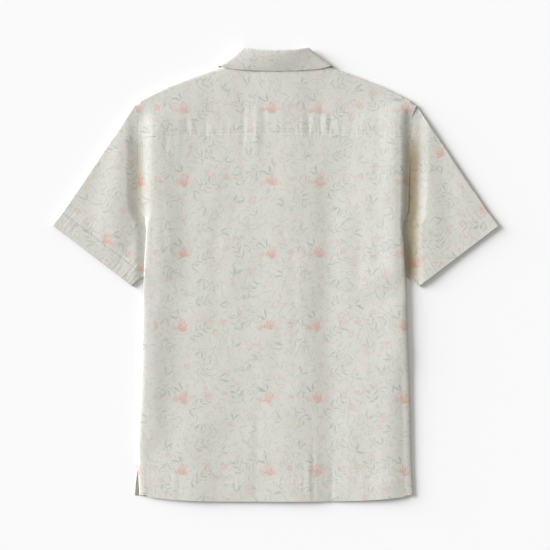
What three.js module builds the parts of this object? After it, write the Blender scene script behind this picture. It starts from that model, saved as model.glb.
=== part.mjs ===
// A short-sleeve shirt with a camp collar, laid flat and face down, so that its back is up.
// Sizes are in millimetres. X runs to the right of the laid shirt, Y towards its collar and Z up.
// The origin is on the table, under the middle of the shirt.
// Each cut piece is a thin wall of cloth: a grid of points on the middle of the cloth, moved out by
// half a thickness on both sides. Side is -1 for the left of the laid shirt and 1 for its right.

import * as THREE from "three";

const { clamp, lerp, smoothstep } = THREE.MathUtils;

// Cloth and how closely its layers lie
const CLOTH = 1.2;
const HALF_CLOTH = CLOTH / 2;
const HEM_EXTRA = 0.5; // a turned hem is this much thicker, on its outer side
const HEM_ROWS = 3; // rows of a panel's grid that lie in its hem
const UPPER_LAYER_Z = 3; // what lies higher than this is part of the upper layer
const SEAM_GAP = 0.3; // between two pieces at a seam
const LAYER_GAP = 0.4; // between two layers that lie on each other
const LAYER_STEP = CLOTH + LAYER_GAP;
const FLOOR_LAYER = HALF_CLOTH; // middle of a layer that lies on the table
const LOFT = 5.4; // middle of the upper layer, where nothing folds it

// Lengths of the laid shirt
const HEM_MIDDLE_Y = -390.6;
const HEM_SIDE_RISE = 11;
const BODY_HALF_WIDTH = 236;
const FRONT_HEM_Y = -386;
const FRONT_HEM_SIDE_RISE = 6;
const BACK_HEM_DEPTH = 33;
const YOKE_SEAM_Y = 244;
const YOKE_SEAM_DROP = 8; // the yoke seam falls this much towards the armholes
const YOKE_FRONT_DEPTH = 30; // how far the yoke comes over the shoulder onto the front
const SHOULDER_Y = 291.5; // where the shoulder fold meets the armhole
const ARMPIT_Y = 33;
const VENT_TOP_Y = -323;

// Front opening, with the wearer's left front over the right one
const PLACKET_HALF_WIDTH = 17;
const PLACKET_RAMP_START = 18.5; // from the middle: here the front starts to sink to the table
const PLACKET_RAMP_END = 31; // and here it lies on it
const BUTTON_RADIUS = 5.75;
const BUTTON_HEIGHT = 2;
const BUTTON_COUNT = 6;
const BUTTON_TOP_Y = 252;
const BUTTON_PITCH = 87;
const PLACKET_LIFT = BUTTON_HEIGHT + SEAM_GAP;

// The shoulder fold, seen from above, by distance from the middle
const SHOULDER_FOLD = [
  { x: 0, y: 381 },
  { x: 78, y: 363 },
  { x: 99, y: 355 },
  { x: 131, y: 344.5 },
  { x: 158, y: 334 },
  { x: 186, y: 323 },
  { x: 211, y: 310.5 },
  { x: 232, y: 299.5 },
  { x: 243, y: 291.5 },
];

// The armhole seam, from the armpit, which is tucked under the body, up to the shoulder.
// It runs straight from row to row, and every piece that meets it has a point at each bend.
const ARMHOLE = [
  { y: 33, left: -181, right: 181 },
  { y: 66, left: -207, right: 206.5 },
  { y: 98, left: -231, right: 226 },
  { y: 112, left: -237, right: 229 },
  { y: 134, left: -238.6, right: 229.5 },
  { y: 268, left: -237.4, right: 234.6 },
  { y: 280, left: -239.2, right: 238 },
  { y: 291.5, left: -243, right: 243 },
];

// The side seam, from hem to armpit, which lies beneath the body's side fold. The back and the
// fronts both have a row at each bend.
const SIDE_SEAM = [
  { y: -391, left: -226, right: 219.5 },
  { y: -300, left: -225, right: 217 },
  { y: -245, left: -221.5, right: 215 },
  { y: -190, left: -217.5, right: 213 },
  { y: -135, left: -213, right: 210 },
  { y: -80, left: -207, right: 206 },
  { y: -25, left: -198.5, right: 198.5 },
  { y: 33, left: -181, right: 181 },
];
const SIDE_ROWS = SIDE_SEAM.slice(1).map((row) => row.y);

// The outer edge of the fronts below the vent's top: on the left it shows past the back
const FRONT_VENT_EDGE = [
  { y: -391, left: -243.4, right: 218.5 },
  { y: -340, left: -238.2, right: 217 },
  { y: -323, left: -226, right: 216.6 },
];

// The body's side folds. Edge is the outermost line. Curl is 1 where the back wraps right round the
// fold and runs in to its seam, 0.5 where it hangs down at the edge, and 0 where it only slopes
// down outwards to its seam. End height is that of the cloth at the seam.
const LEFT_FOLD = [
  { y: -391, edge: -235.4, curl: 0.5, endHeight: 2.3 },
  { y: -330, edge: -236.4, curl: 0.5, endHeight: 2.3 },
  { y: -300, edge: -236.2, curl: 1, endHeight: 0.6 },
  { y: -180, edge: -231, curl: 1, endHeight: 0.6 },
  { y: -80, edge: -228.6, curl: 1, endHeight: 0.6 },
  { y: -25, edge: -226.6, curl: 1, endHeight: 3.9 },
  { y: 62, edge: -222.6, curl: 1, endHeight: 3.9 },
  { y: 88, edge: -223.4, curl: 0.5, endHeight: 4.2 },
  { y: 112, edge: -217.5, curl: 0, endHeight: 3.8 },
  { y: 244, edge: -216, curl: 0, endHeight: 3.8 },
];
const RIGHT_FOLD = [
  { y: -391, edge: 237.4, curl: 1, endHeight: 0.6 },
  { y: -330, edge: 234, curl: 1, endHeight: 0.6 },
  { y: -180, edge: 230.3, curl: 1, endHeight: 0.6 },
  { y: -80, edge: 226.2, curl: 1, endHeight: 0.6 },
  { y: -25, edge: 223.8, curl: 1, endHeight: 3.9 },
  { y: 56, edge: 219.8, curl: 1, endHeight: 3.9 },
  { y: 84, edge: 220, curl: 0.5, endHeight: 4.2 },
  { y: 112, edge: 220.5, curl: 0, endHeight: 3.8 },
  { y: 244, edge: 220, curl: 0, endHeight: 3.8 },
];
const FOLD_ROLL = 8; // from the outermost line in to the top of the roll
const FOLD_FULLNESS = 0.6; // how far the roll bulges, as a share of its reach
// Where the back only slopes down to its seam: the curve's two handles, as shares of its reach
const SIDE_SLOPE = { left: { near: 0.5, far: 0.5 }, right: { near: 0.55, far: 0.35 } };

// Soft folds of the upper layer, each along a line from one end to the other
const BODY_FOLDS = [
  { x0: -205, y0: 292, x1: -206, y1: -30, width: 28, height: 2.5 },
  { x0: -211, y0: -30, x1: -216, y1: -300, width: 26, height: 1.9 },
  { x0: -230, y0: -300, x1: -236, y1: -430, width: 26, height: -0.9 },
  { x0: -140, y0: -230, x1: -138, y1: -420, width: 32, height: 1.5 },
  { x0: -160, y0: 150, x1: -158, y1: -200, width: 24, height: -0.6 },
  { x0: 20, y0: 330, x1: 24, y1: -440, width: 48, height: 1.2 },
  { x0: 46, y0: 180, x1: 48, y1: -440, width: 26, height: 0.5 },
  { x0: 92, y0: 170, x1: 96, y1: -440, width: 20, height: -1 },
  { x0: 155, y0: -60, x1: 150, y1: -440, width: 40, height: 0.6 },
  { x0: 190, y0: 300, x1: 186, y1: -60, width: 60, height: 1.2 },
  { x0: 206, y0: 300, x1: 210, y1: -24, width: 24, height: 3.4 },
  { x0: 212, y0: -24, x1: 200, y1: -440, width: 30, height: 3.2 },
];
const NECK_SWELL = { y: 352, width: 95, depth: 42, height: 1.8 };

// The sleeves: cuff corners and hem line, for the right sleeve and mirrored for the left
const CUFF_OUTER = new THREE.Vector2(384.3, 85);
const CUFF_INNER = new THREE.Vector2(247.6, -19.4);
const SLEEVE_HEM_OUTER = new THREE.Vector2(366, 108.3);
const SLEEVE_HEM_INNER = new THREE.Vector2(223.7, -0.6);
const SLEEVE_LOFT = 4.8;
const SLEEVE_TUCK_Y = 104; // below this the sleeve lies under the body's side fold
const SLEEVE_FREE_Y = 120; // and above this it is free of it
const SLEEVES = {
  left: { rise: 20, ridge: { x0: -262, y0: 262, x1: -276, y1: 40, width: 24, height: 1.8 } },
  right: { rise: 24, ridge: { x0: 256, y0: 280, x1: 268, y1: -60, width: 26, height: 1.2 } },
};

// The collar from centre back (0) to centre front (1): base on the neckline, roll and leaf edge.
// Lean is the angle of the leaf over the stand, 90 above it and -90 under it.
const COLLAR = [
  { at: 0.0, baseX: 0, baseY: 358, baseZ: 8.4, rollX: 0, rollY: 386, rollZ: 15.6,
    edgeX: 0, edgeY: 350.4, edgeZ: 10.8, lean: 90, radius: 2.6 },
  { at: 0.17, baseX: 34, baseY: 357.8, baseZ: 8.2, rollX: 33, rollY: 387.6, rollZ: 15.4,
    edgeX: 38, edgeY: 351.5, edgeZ: 10.6, lean: 90, radius: 2.6 },
  { at: 0.3, baseX: 58, baseY: 359, baseZ: 7.4, rollX: 48.5, rollY: 389.4, rollZ: 13.6,
    edgeX: 70, edgeY: 353.6, edgeZ: 10, lean: 72, radius: 2.6 },
  { at: 0.38, baseX: 70, baseY: 363, baseZ: 6.2, rollX: 53, rollY: 389.4, rollZ: 11,
    edgeX: 88, edgeY: 357.2, edgeZ: 9, lean: 40, radius: 2.4 },
  { at: 0.44, baseX: 76, baseY: 368, baseZ: 4.6, rollX: 54.5, rollY: 388.6, rollZ: 7,
    edgeX: 97, edgeY: 359.6, edgeZ: 6, lean: 0, radius: 2.2 },
  { at: 0.475, baseX: 76.6, baseY: 366, baseZ: 3.6, rollX: 54.6, rollY: 386.4, rollZ: 4.6,
    edgeX: 98.4, edgeY: 358.4, edgeZ: 3.2, lean: -32, radius: 1.8 },
  { at: 0.51, baseX: 76.7, baseY: 361, baseZ: 3, rollX: 54.5, rollY: 383, rollZ: 2.6,
    edgeX: 98.6, edgeY: 354.4, edgeZ: 0.7, lean: -64, radius: 1.2 },
  { at: 0.56, baseX: 76.8, baseY: 352, baseZ: 2.3, rollX: 54, rollY: 375, rollZ: 1.5,
    edgeX: 98.6, edgeY: 343, edgeZ: 0.6, lean: -90, radius: 0.9 },
  { at: 0.63, baseX: 76, baseY: 340, baseZ: 2.3, rollX: 51, rollY: 363, rollZ: 1.5,
    edgeX: 98, edgeY: 327, edgeZ: 0.6, lean: -90, radius: 0.9 },
  { at: 0.75, baseX: 68, baseY: 314.5, baseZ: 2.3, rollX: 43, rollY: 338, rollZ: 1.5,
    edgeX: 95, edgeY: 302, edgeZ: 0.6, lean: -90, radius: 0.9 },
  { at: 0.9, baseX: 36, baseY: 283, baseZ: 2.3, rollX: 22, rollY: 305, rollZ: 1.5,
    edgeX: 85, edgeY: 274, edgeZ: 0.6, lean: -90, radius: 0.9 },
  { at: 1.0, baseX: 4, baseY: 274.5, baseZ: 2.3, rollX: 4, rollY: 295, rollZ: 1.5,
    edgeX: 73, edgeY: 262, edgeZ: 0.6, lean: -90, radius: 0.9 },
];
const COLLAR_NECK_SHARE = 0.63; // past this the collar's base follows the fronts' neckline
const COLLAR_NECK_EASE = 0.08; // over this share of its length it comes to follow it
const COLLAR_NECK_GAP = 1;
const COLLAR_LIFT = LAYER_STEP; // the front parts of the shirt lie over the collar's leaf
const COLLAR_ZONE = { halfWidth: 104, bottomY: 236, ramp: 30 };

// The top edge of the fronts: the yoke's front seam down to the neckline, by distance from the middle
const FRONT_NECKLINE = [
  { x: 0, y: 273.6 },
  { x: 20, y: 276 },
  { x: 36, y: 282 },
  { x: 54, y: 296 },
  { x: 68, y: 313.5 },
  { x: 74.5, y: 330 },
  { x: 78.5, y: 336 },
];

// The end of the yoke at the neck, from centre back to the side of the neck, in its flat cut: past
// the shoulder fold, y goes on upwards as if the yoke weren't folded over. Seam x is where the same
// column starts. From there to the armhole the yoke ends at its seam with the front.
const YOKE_NECK = [
  { at: 0, x: 0, y: 357.4, seamX: 0 },
  { at: 0.4, x: 34, y: 357.2, seamX: 44 },
  { at: 0.6, x: 58, y: 358, seamX: 66 },
  { at: 0.74, x: 71, y: 361, seamX: 80 },
  { at: 0.84, x: 78, y: 367, seamX: 92 },
  { at: 0.92, x: 79.5, y: 382, seamX: 103 },
  { at: 1, x: 79.5, y: 397, seamX: 113 },
];
const NECK_SIDE_X = 79.5;
const YOKE_SEAM_END_X = 233;

// Reads a column of a table between its rows, on a smooth curve that never overshoots them.
function read(table, key, column, at) {
  const last = table.length - 1;
  const after = table.findIndex((row) => row[key] > at);
  const i = after === -1 ? last - 1 : clamp(after - 1, 0, last - 1);
  const step = (j) =>
    (table[j + 1][column] - table[j][column]) / (table[j + 1][key] - table[j][key]);
  const slope = (j) => {
    if (j === 0) return step(0);
    if (j === last) return step(last - 1);
    const [a, b] = [step(j - 1), step(j)];
    return a * b <= 0 ? 0 : (2 * a * b) / (a + b);
  };
  const span = table[i + 1][key] - table[i][key];
  const t = clamp((at - table[i][key]) / span, 0, 1);
  const rise = table[i + 1][column] - table[i][column];
  const ease = t * t * (3 - 2 * t);
  const leave = t * (1 - t) * (1 - t) * span * slope(i);
  const arrive = t * t * (1 - t) * span * slope(i + 1);
  return table[i][column] + rise * ease + leave - arrive;
}

// Reads a column of a table on straight lines from row to row.
function readStraight(table, key, column, at) {
  const after = table.findIndex((row) => row[key] > at);
  const i = after === -1 ? table.length - 2 : Math.max(after - 1, 0);
  const t = (at - table[i][key]) / (table[i + 1][key] - table[i][key]);
  return lerp(table[i][column], table[i + 1][column], clamp(t, 0, 1));
}

const sideName = (side) => (side < 0 ? "left" : "right");

const shoulderFoldY = (x) => read(SHOULDER_FOLD, "x", "y", Math.abs(x));
const armholeX = (side, y) => readStraight(ARMHOLE, "y", sideName(side), y);
const sideSeamX = (side, y) => readStraight(SIDE_SEAM, "y", sideName(side), y);
const sideFold = (side, y, column) => read(side < 0 ? LEFT_FOLD : RIGHT_FOLD, "y", column, y);
const backHemY = (x) =>
  HEM_MIDDLE_Y + HEM_SIDE_RISE * Math.min(1, Math.abs(x / BODY_HALF_WIDTH)) ** 4;
const frontHemY = (x) =>
  FRONT_HEM_Y + FRONT_HEM_SIDE_RISE * Math.min(1, Math.abs(x / BODY_HALF_WIDTH)) ** 3;
const yokeSeamY = (x) => YOKE_SEAM_Y - YOKE_SEAM_DROP * (x / BODY_HALF_WIDTH) ** 2;

// Height of one soft fold over a place: a bell across its line, fading past the line's ends.
function foldHeight(fold, x, y) {
  const line = new THREE.Vector2(fold.x1 - fold.x0, fold.y1 - fold.y0);
  const length = line.length();
  line.divideScalar(length);
  const along = (x - fold.x0) * line.x + (y - fold.y0) * line.y;
  const across = (y - fold.y0) * line.x - (x - fold.x0) * line.y;
  const fade = smoothstep(along, -15, 40) * (1 - smoothstep(along, length - 40, length + 15));
  return fold.height * fade * Math.exp(-((across / fold.width) ** 2));
}

// Height of the middle of the upper layer of the body, the back and the yoke.
function bodyTop(x, y) {
  const swell = Math.exp(
    -((x / NECK_SWELL.width) ** 2) - ((y - NECK_SWELL.y) / NECK_SWELL.depth) ** 2,
  );
  return BODY_FOLDS.reduce(
    (height, fold) => height + foldHeight(fold, x, y),
    LOFT + NECK_SWELL.height * swell,
  );
}

// 1 over the collar's leaf, on the underside, and 0 well away from it.
function overCollar(x, y) {
  const { halfWidth, bottomY, ramp } = COLLAR_ZONE;
  return (
    (1 - smoothstep(Math.abs(x), halfWidth, halfWidth + ramp)) *
    smoothstep(y, bottomY - ramp, bottomY)
  );
}

// Turns a grid of points on the middle of the cloth into a closed wall. A tube's columns close on
// themselves. The outer side is where the columns' direction crossed with the rows' points.
function clothWall(rows, { tube = false, extra = () => 0 } = {}) {
  const rowCount = rows.length;
  const columnCount = rows[0].length;
  const point = (v, u) => {
    const column = tube ? (u + columnCount) % columnCount : clamp(u, 0, columnCount - 1);
    return rows[clamp(v, 0, rowCount - 1)][column];
  };
  const vertices = [];
  for (const face of [1, -1]) {
    for (let v = 0; v < rowCount; v++) {
      for (let u = 0; u < columnCount; u++) {
        const across = point(v, u + 1).clone().sub(point(v, u - 1));
        const along = point(v + 1, u).clone().sub(point(v - 1, u));
        const reach = HALF_CLOTH + (face > 0 ? extra(v, u) : 0);
        const out = across.cross(along).normalize().multiplyScalar(face * reach);
        vertices.push(...point(v, u).clone().add(out).toArray());
      }
    }
  }
  const outer = (v, u) => v * columnCount + (u % columnCount);
  const inner = (v, u) => outer(v, u) + rowCount * columnCount;
  const faces = [];
  const quad = (a, b, c, d) => faces.push(a, b, c, a, c, d);
  const lastRow = rowCount - 1;
  const lastColumn = columnCount - 1;
  for (let u = 0; u < (tube ? columnCount : lastColumn); u++) {
    for (let v = 0; v < lastRow; v++) {
      quad(outer(v, u), outer(v, u + 1), outer(v + 1, u + 1), outer(v + 1, u));
      quad(inner(v, u), inner(v + 1, u), inner(v + 1, u + 1), inner(v, u + 1));
    }
    quad(inner(0, u), inner(0, u + 1), outer(0, u + 1), outer(0, u));
    quad(outer(lastRow, u), outer(lastRow, u + 1), inner(lastRow, u + 1), inner(lastRow, u));
  }
  for (let v = 0; !tube && v < lastRow; v++) {
    const [end, nextEnd] = [lastColumn, columnCount + lastColumn].map((i) => v * columnCount + i);
    const innerStart = rowCount * columnCount;
    quad(outer(v, 0), outer(v + 1, 0), inner(v + 1, 0), inner(v, 0));
    quad(innerStart + end, innerStart + nextEnd, nextEnd, end);
  }
  const geometry = new THREE.BufferGeometry();
  geometry.setAttribute("position", new THREE.Float32BufferAttribute(vertices, 3));
  geometry.setIndex(faces);
  geometry.computeVertexNormals();
  return geometry;
}

// Evenly spaced shares from 0 to 1, both ends included.
const shares = (count) => Array.from({ length: count + 1 }, (_, i) => i / count);

const HEM_STEP = 0.001; // share of a panel's length over which the hem's extra thickness ends

// The extra thickness of a turned hem at a point of a panel's grid, on its upper layer only.
const hemThickness = (rows) => (v, u) =>
  v < HEM_ROWS && rows[v][u].z > UPPER_LAYER_Z ? HEM_EXTRA : 0;

// The back, from hem to yoke seam. Each row runs from the left seam, up round the left fold,
// over the folds of the upper layer and down round the right fold.
const BACK_ROWS = [...SIDE_ROWS, 60, 86, 112, 134, 190, YOKE_SEAM_Y];
const BACK_MIDDLE = 24;
const BACK_SIDE = 8;

// One side of a row of the back, from the top of the side roll outwards and under to the seam:
// a curve whose far handle turns from outwards through upwards to inwards as the curl eases.
function backSide(side, y) {
  const edge = sideFold(side, y, "edge");
  const curl = sideFold(side, y, "curl");
  const endHeight = sideFold(side, y, "endHeight");
  const root = edge - side * FOLD_ROLL;
  const rootHeight = bodyTop(root, y);
  const wrapped = clamp(2 * curl - 1, 0, 1);
  const hung = clamp(2 * curl, 0, 1);
  const under =
    y > ARMPIT_Y ? armholeX(side, y) - side * 2 * SEAM_GAP : sideSeamX(side, y);
  const seam = curl < 0.5 ? lerp(under, edge, hung) : lerp(edge, under, wrapped);
  const reach = (edge - (root + seam) / 8) / 0.75;
  const slope = SIDE_SLOPE[sideName(side)];
  const bulge = FOLD_FULLNESS * (edge - root);
  const nearHandle =
    curl < 0.5
      ? lerp(slope.near * (seam - root), bulge, hung)
      : lerp(bulge, reach - root, wrapped);
  const farTurn = Math.PI * (1 - curl);
  const farReach = curl < 0.5 ? slope.far * (seam - root) : reach - seam;
  const farHandle = Math.cos(farTurn) * farReach;
  const farRise = FOLD_FULLNESS * Math.sin(farTurn) * (rootHeight - endHeight);
  const curve = new THREE.CubicBezierCurve3(
    new THREE.Vector3(root, y, rootHeight),
    new THREE.Vector3(root + nearHandle, y, rootHeight),
    new THREE.Vector3(seam + farHandle, y, endHeight + farRise),
    new THREE.Vector3(seam, y, endHeight),
  );
  return curve.getPoints(BACK_SIDE);
}

function makeBack() {
  const sideHem = backHemY(BODY_HALF_WIDTH);
  const length = yokeSeamY(BODY_HALF_WIDTH) - sideHem;
  const hem = BACK_HEM_DEPTH / length;
  const levels = [0, hem / 2, hem - HEM_STEP, hem + HEM_STEP].concat(
    BACK_ROWS.map((y) => Math.min(1, (y - sideHem) / length)),
  );
  const rowAt = (x, t) => lerp(backHemY(x), yokeSeamY(x) - SEAM_GAP / 2, t);
  const rows = levels.map((t) => {
    const left = backSide(-1, rowAt(-BODY_HALF_WIDTH, t)).reverse();
    const right = backSide(1, rowAt(BODY_HALF_WIDTH, t));
    const [start, end] = [left[left.length - 1], right[0]];
    const middle = shares(BACK_MIDDLE)
      .slice(1, -1)
      .map((s) => {
        const x = lerp(start.x, end.x, s);
        const y = rowAt(x, t);
        return new THREE.Vector3(x, y, bodyTop(x, y));
      });
    return [...left, ...middle, ...right];
  });
  return clothWall(rows, { extra: hemThickness(rows) });
}

// The yoke: from its seam with the back up to the neckline, and over the shoulders onto the front.
const YOKE_NECK_COLUMNS = 8;
const SHOULDER_COLUMNS = 7; // of the yoke and of each front, where they meet
const YOKE_RISE_ROWS = 6;
const YOKE_ROLL_ROWS = 5;
const YOKE_FRONT_ROWS = 2;
const ROLL_LATEST_START = 0.8; // the roll lies between these shares of each column's length
const ROLL_LATEST_END = 0.93;
const ARMHOLE_TRIES = 6; // steps that bring the yoke's end onto the armhole seam

// Radius of the roll of the yoke over the shoulder.
function shoulderRoll(x) {
  const foldY = shoulderFoldY(x);
  return (bodyTop(x, foldY) - FLOOR_LAYER - COLLAR_LIFT * overCollar(x, foldY)) / 2;
}

// A point of the yoke's flat cut, folded over the shoulder.
function foldOverShoulder(x, y) {
  const foldY = shoulderFoldY(x);
  const underHeight = FLOOR_LAYER + COLLAR_LIFT * overCollar(x, foldY);
  const radius = shoulderRoll(x);
  const past = y - (foldY - radius);
  if (past <= 0) return new THREE.Vector3(x, y, bodyTop(x, y));
  const turn = past / radius;
  if (turn < Math.PI) {
    const height = underHeight + radius * (1 + Math.cos(turn));
    return new THREE.Vector3(x, foldY - radius * (1 - Math.sin(turn)), height);
  }
  const underY = foldY - radius - (past - Math.PI * radius);
  return new THREE.Vector3(x, underY, FLOOR_LAYER + COLLAR_LIFT * overCollar(x, underY));
}

// Where the yoke meets the front, as a height in its flat cut.
const frontSeamFlatY = (x) =>
  shoulderFoldY(x) + YOKE_FRONT_DEPTH + (Math.PI - 2) * shoulderRoll(x);

// The yoke's columns on one side, from the middle to the armhole: where each starts and ends.
function yokeColumns(side) {
  const neck = shares(YOKE_NECK_COLUMNS).map((at) => ({
    startX: read(YOKE_NECK, "at", "seamX", at),
    endX: read(YOKE_NECK, "at", "x", at),
    endY: read(YOKE_NECK, "at", "y", at),
  }));
  const neckSide = neck[neck.length - 1];
  neckSide.endY = frontSeamFlatY(NECK_SIDE_X);
  const frontSeamY = shoulderFoldY(YOKE_SEAM_END_X) - YOKE_FRONT_DEPTH;
  const shoulder = shares(SHOULDER_COLUMNS)
    .slice(1)
    .map((at) => {
      const endX = lerp(NECK_SIDE_X, Math.abs(armholeX(side, frontSeamY)) - SEAM_GAP, at);
      return {
        startX: lerp(neckSide.startX, YOKE_SEAM_END_X, at),
        endX,
        endY: frontSeamFlatY(endX),
        atArmhole: at === 1,
      };
    });
  return [...neck, ...shoulder].map(({ startX, endX, endY, atArmhole = false }) => ({
    start: new THREE.Vector2(side * startX, yokeSeamY(startX) + SEAM_GAP / 2),
    end: new THREE.Vector2(side * endX, endY),
    atArmhole,
  }));
}

function yokeColumn(side, { start, end, atArmhole }) {
  const length = end.y - start.y;
  const roll = shoulderRoll(end.x);
  const rollStart = Math.min(shoulderFoldY(end.x) - roll - start.y, ROLL_LATEST_START * length);
  const rollEnd = Math.min(rollStart + Math.PI * roll, ROLL_LATEST_END * length);
  const heights = [
    ...shares(YOKE_RISE_ROWS).map((t) => rollStart * t),
    ...shares(YOKE_ROLL_ROWS).slice(1).map((t) => lerp(rollStart, rollEnd, t)),
    ...shares(YOKE_FRONT_ROWS).slice(1).map((t) => lerp(rollEnd, length, t)),
  ];
  return heights.map((height) => {
    const flat = start.clone().lerp(end, height / length);
    let folded = foldOverShoulder(flat.x, flat.y);
    for (let settle = 0; atArmhole && settle < ARMHOLE_TRIES; settle++) {
      folded = foldOverShoulder(armholeX(side, folded.y) - side * SEAM_GAP, flat.y);
    }
    return folded;
  });
}

function makeYoke() {
  const left = yokeColumns(-1).map((column) => yokeColumn(-1, column));
  const right = yokeColumns(1).map((column) => yokeColumn(1, column));
  const columns = [...left.reverse(), ...right.slice(1)];
  const rows = columns[0].map((_, v) => columns.map((column) => column[v]));
  return clothWall(rows);
}

// A front, from its hem to the yoke's front seam and the neckline. It lies on the table, but for
// its button edge, which lies on the buttons, and its neck, which lies on the collar's leaf.
const FRONT_ROWS = [VENT_TOP_Y, ...SIDE_ROWS, 66, 98, 112, 134, 190, 236];
const NECK_COLUMNS = 4;
const PLACKET_COLUMNS = 4;

function frontOuterX(side, y) {
  if (y > ARMPIT_Y) return armholeX(side, y) - side * SEAM_GAP;
  if (y < VENT_TOP_Y) return read(FRONT_VENT_EDGE, "y", sideName(side), y);
  return sideSeamX(side, y) - side * SEAM_GAP;
}

function frontTopY(x) {
  if (Math.abs(x) < NECK_SIDE_X) return read(FRONT_NECKLINE, "x", "y", Math.abs(x)) - SEAM_GAP;
  return shoulderFoldY(x) - YOKE_FRONT_DEPTH - SEAM_GAP;
}

function frontHeight(side, x, y) {
  const overButtons = 1 - smoothstep(Math.abs(x), PLACKET_RAMP_START, PLACKET_RAMP_END);
  const lift = Math.max(PLACKET_LIFT * overButtons, COLLAR_LIFT * overCollar(x, y));
  return FLOOR_LAYER + lift + (side > 0 ? LAYER_STEP * overButtons : 0);
}

function makeFront(side) {
  const shoulderEndX = frontOuterX(side, SHOULDER_Y - YOKE_FRONT_DEPTH);
  const hemY = frontHemY(shoulderEndX);
  const topY = frontTopY(shoulderEndX);
  const levels = [hemY, hemY + BACK_HEM_DEPTH, ...FRONT_ROWS, topY].map(
    (y) => (y - hemY) / (topY - hemY),
  );
  const rampStart = side * PLACKET_RAMP_START;
  const rampEnd = side * PLACKET_RAMP_END;
  const lapEnd = -side * PLACKET_HALF_WIDTH;
  const placket = shares(PLACKET_COLUMNS).map((t) => lerp(lapEnd, rampStart, t));
  const neckShare = (NECK_SIDE_X - PLACKET_RAMP_END) / (Math.abs(shoulderEndX) - PLACKET_RAMP_END);
  const outwards = [
    ...shares(NECK_COLUMNS).map((t) => neckShare * t),
    ...shares(SHOULDER_COLUMNS).slice(1).map((t) => lerp(neckShare, 1, t)),
  ];
  const rows = levels.map((t) => {
    const rowEndX = frontOuterX(side, lerp(hemY, topY, t));
    const columns = [
      ...[...placket, (rampStart + rampEnd) / 2].map((x) => ({ x, topX: x })),
      ...outwards.map((s) => ({
        x: lerp(rampEnd, rowEndX, s),
        topX: lerp(rampEnd, shoulderEndX, s),
      })),
    ];
    const points = columns.map(({ x, topX }) => {
      const y = lerp(frontHemY(topX), frontTopY(topX), t);
      return new THREE.Vector3(x, y, frontHeight(side, x, y));
    });
    return side > 0 ? points.reverse() : points;
  });
  return clothWall(rows);
}

// A sleeve is one flattened tube of cloth, from its cuff to the armhole. Around comes first the
// upper layer, then the underarm fold, the lower layer and the outer fold.
const SLEEVE_UPPER = [291.5, 280, 268, 233, 200, 167, 134, 112, 98, 82, 66, 50, 33];
const SLEEVE_LOWER = [33, 66, 98, 112, 134, 268, 280, 291.5];
const SLEEVE_ROLL = 4;
const SLEEVE_ROWS = 8;
const SLEEVE_ROW_EASE = 1.5; // rows lie closer together towards the armhole
const aroundOf = (y) => (SHOULDER_Y - y) / (SHOULDER_Y - ARMPIT_Y);

// A place of the flattened sleeve, from outer fold to underarm fold and from cuff to armhole.
function sleevePlace(side, around, level) {
  const mirrored = (corner) => new THREE.Vector2(side * corner.x, corner.y);
  const hem = mirrored(SLEEVE_HEM_OUTER).lerp(mirrored(SLEEVE_HEM_INNER), around);
  if (level <= 0) {
    return mirrored(CUFF_OUTER).lerp(mirrored(CUFF_INNER), around).lerp(hem, 1 + level);
  }
  const armholeY = lerp(SHOULDER_Y, ARMPIT_Y, around);
  return hem.lerp(new THREE.Vector2(armholeX(side, armholeY), armholeY), level);
}

function sleeveTop(side, place) {
  const { rise, ridge } = SLEEVES[sideName(side)];
  const { x, y } = place;
  const tucked = 1 - smoothstep(y, SLEEVE_TUCK_Y, SLEEVE_FREE_Y);
  const valleyX = side * Math.max(side * armholeX(side, y), side * sideFold(side, y, "edge"));
  const seamHeight = sideFold(side, YOKE_SEAM_Y, "endHeight");
  const valley = lerp(seamHeight, FLOOR_LAYER + LAYER_STEP, tucked);
  const full = SLEEVE_LOFT + foldHeight(ridge, x, y);
  return lerp(valley, full, smoothstep(side * (x - valleyX), 0, rise));
}

function makeSleeve(side) {
  const levels = [-1, -0.5, -0.02, 0.005].concat(
    shares(SLEEVE_ROWS)
      .slice(1)
      .map((t) => 1 - (1 - t) ** SLEEVE_ROW_EASE),
  );
  const rows = levels.map((level) => {
    const outer = sleevePlace(side, 0, level);
    const inner = sleevePlace(side, 1, level);
    const width = outer.distanceTo(inner);
    const radiusAt = (place) => (sleeveTop(side, place) - FLOOR_LAYER) / 2;
    const outerRadius = radiusAt(outer);
    const innerRadius = radiusAt(inner);
    const outerShare = outerRadius / width;
    const innerShare = innerRadius / width;
    const ring = [];
    for (const y of SLEEVE_UPPER) {
      const place = sleevePlace(side, lerp(outerShare, 1 - innerShare, aroundOf(y)), level);
      ring.push(new THREE.Vector3(place.x, place.y, sleeveTop(side, place)));
    }
    for (const t of shares(SLEEVE_ROLL).slice(1, -1)) {
      const place = sleevePlace(side, 1 - innerShare * (1 - Math.sin(t * Math.PI)), level);
      const height = FLOOR_LAYER + innerRadius * (1 + Math.cos(t * Math.PI));
      ring.push(new THREE.Vector3(place.x, place.y, height));
    }
    for (const y of SLEEVE_LOWER) {
      const place = sleevePlace(side, lerp(outerShare, 1 - innerShare, aroundOf(y)), level);
      ring.push(new THREE.Vector3(place.x, place.y, FLOOR_LAYER));
    }
    for (const t of shares(SLEEVE_ROLL).slice(1, -1)) {
      const place = sleevePlace(side, outerShare * (1 - Math.sin(t * Math.PI)), level);
      const height = FLOOR_LAYER + outerRadius * (1 - Math.cos(t * Math.PI));
      ring.push(new THREE.Vector3(place.x, place.y, height));
    }
    return side > 0 ? ring.reverse() : ring;
  });
  return clothWall(rows, { tube: true, extra: hemThickness(rows) });
}

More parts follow.
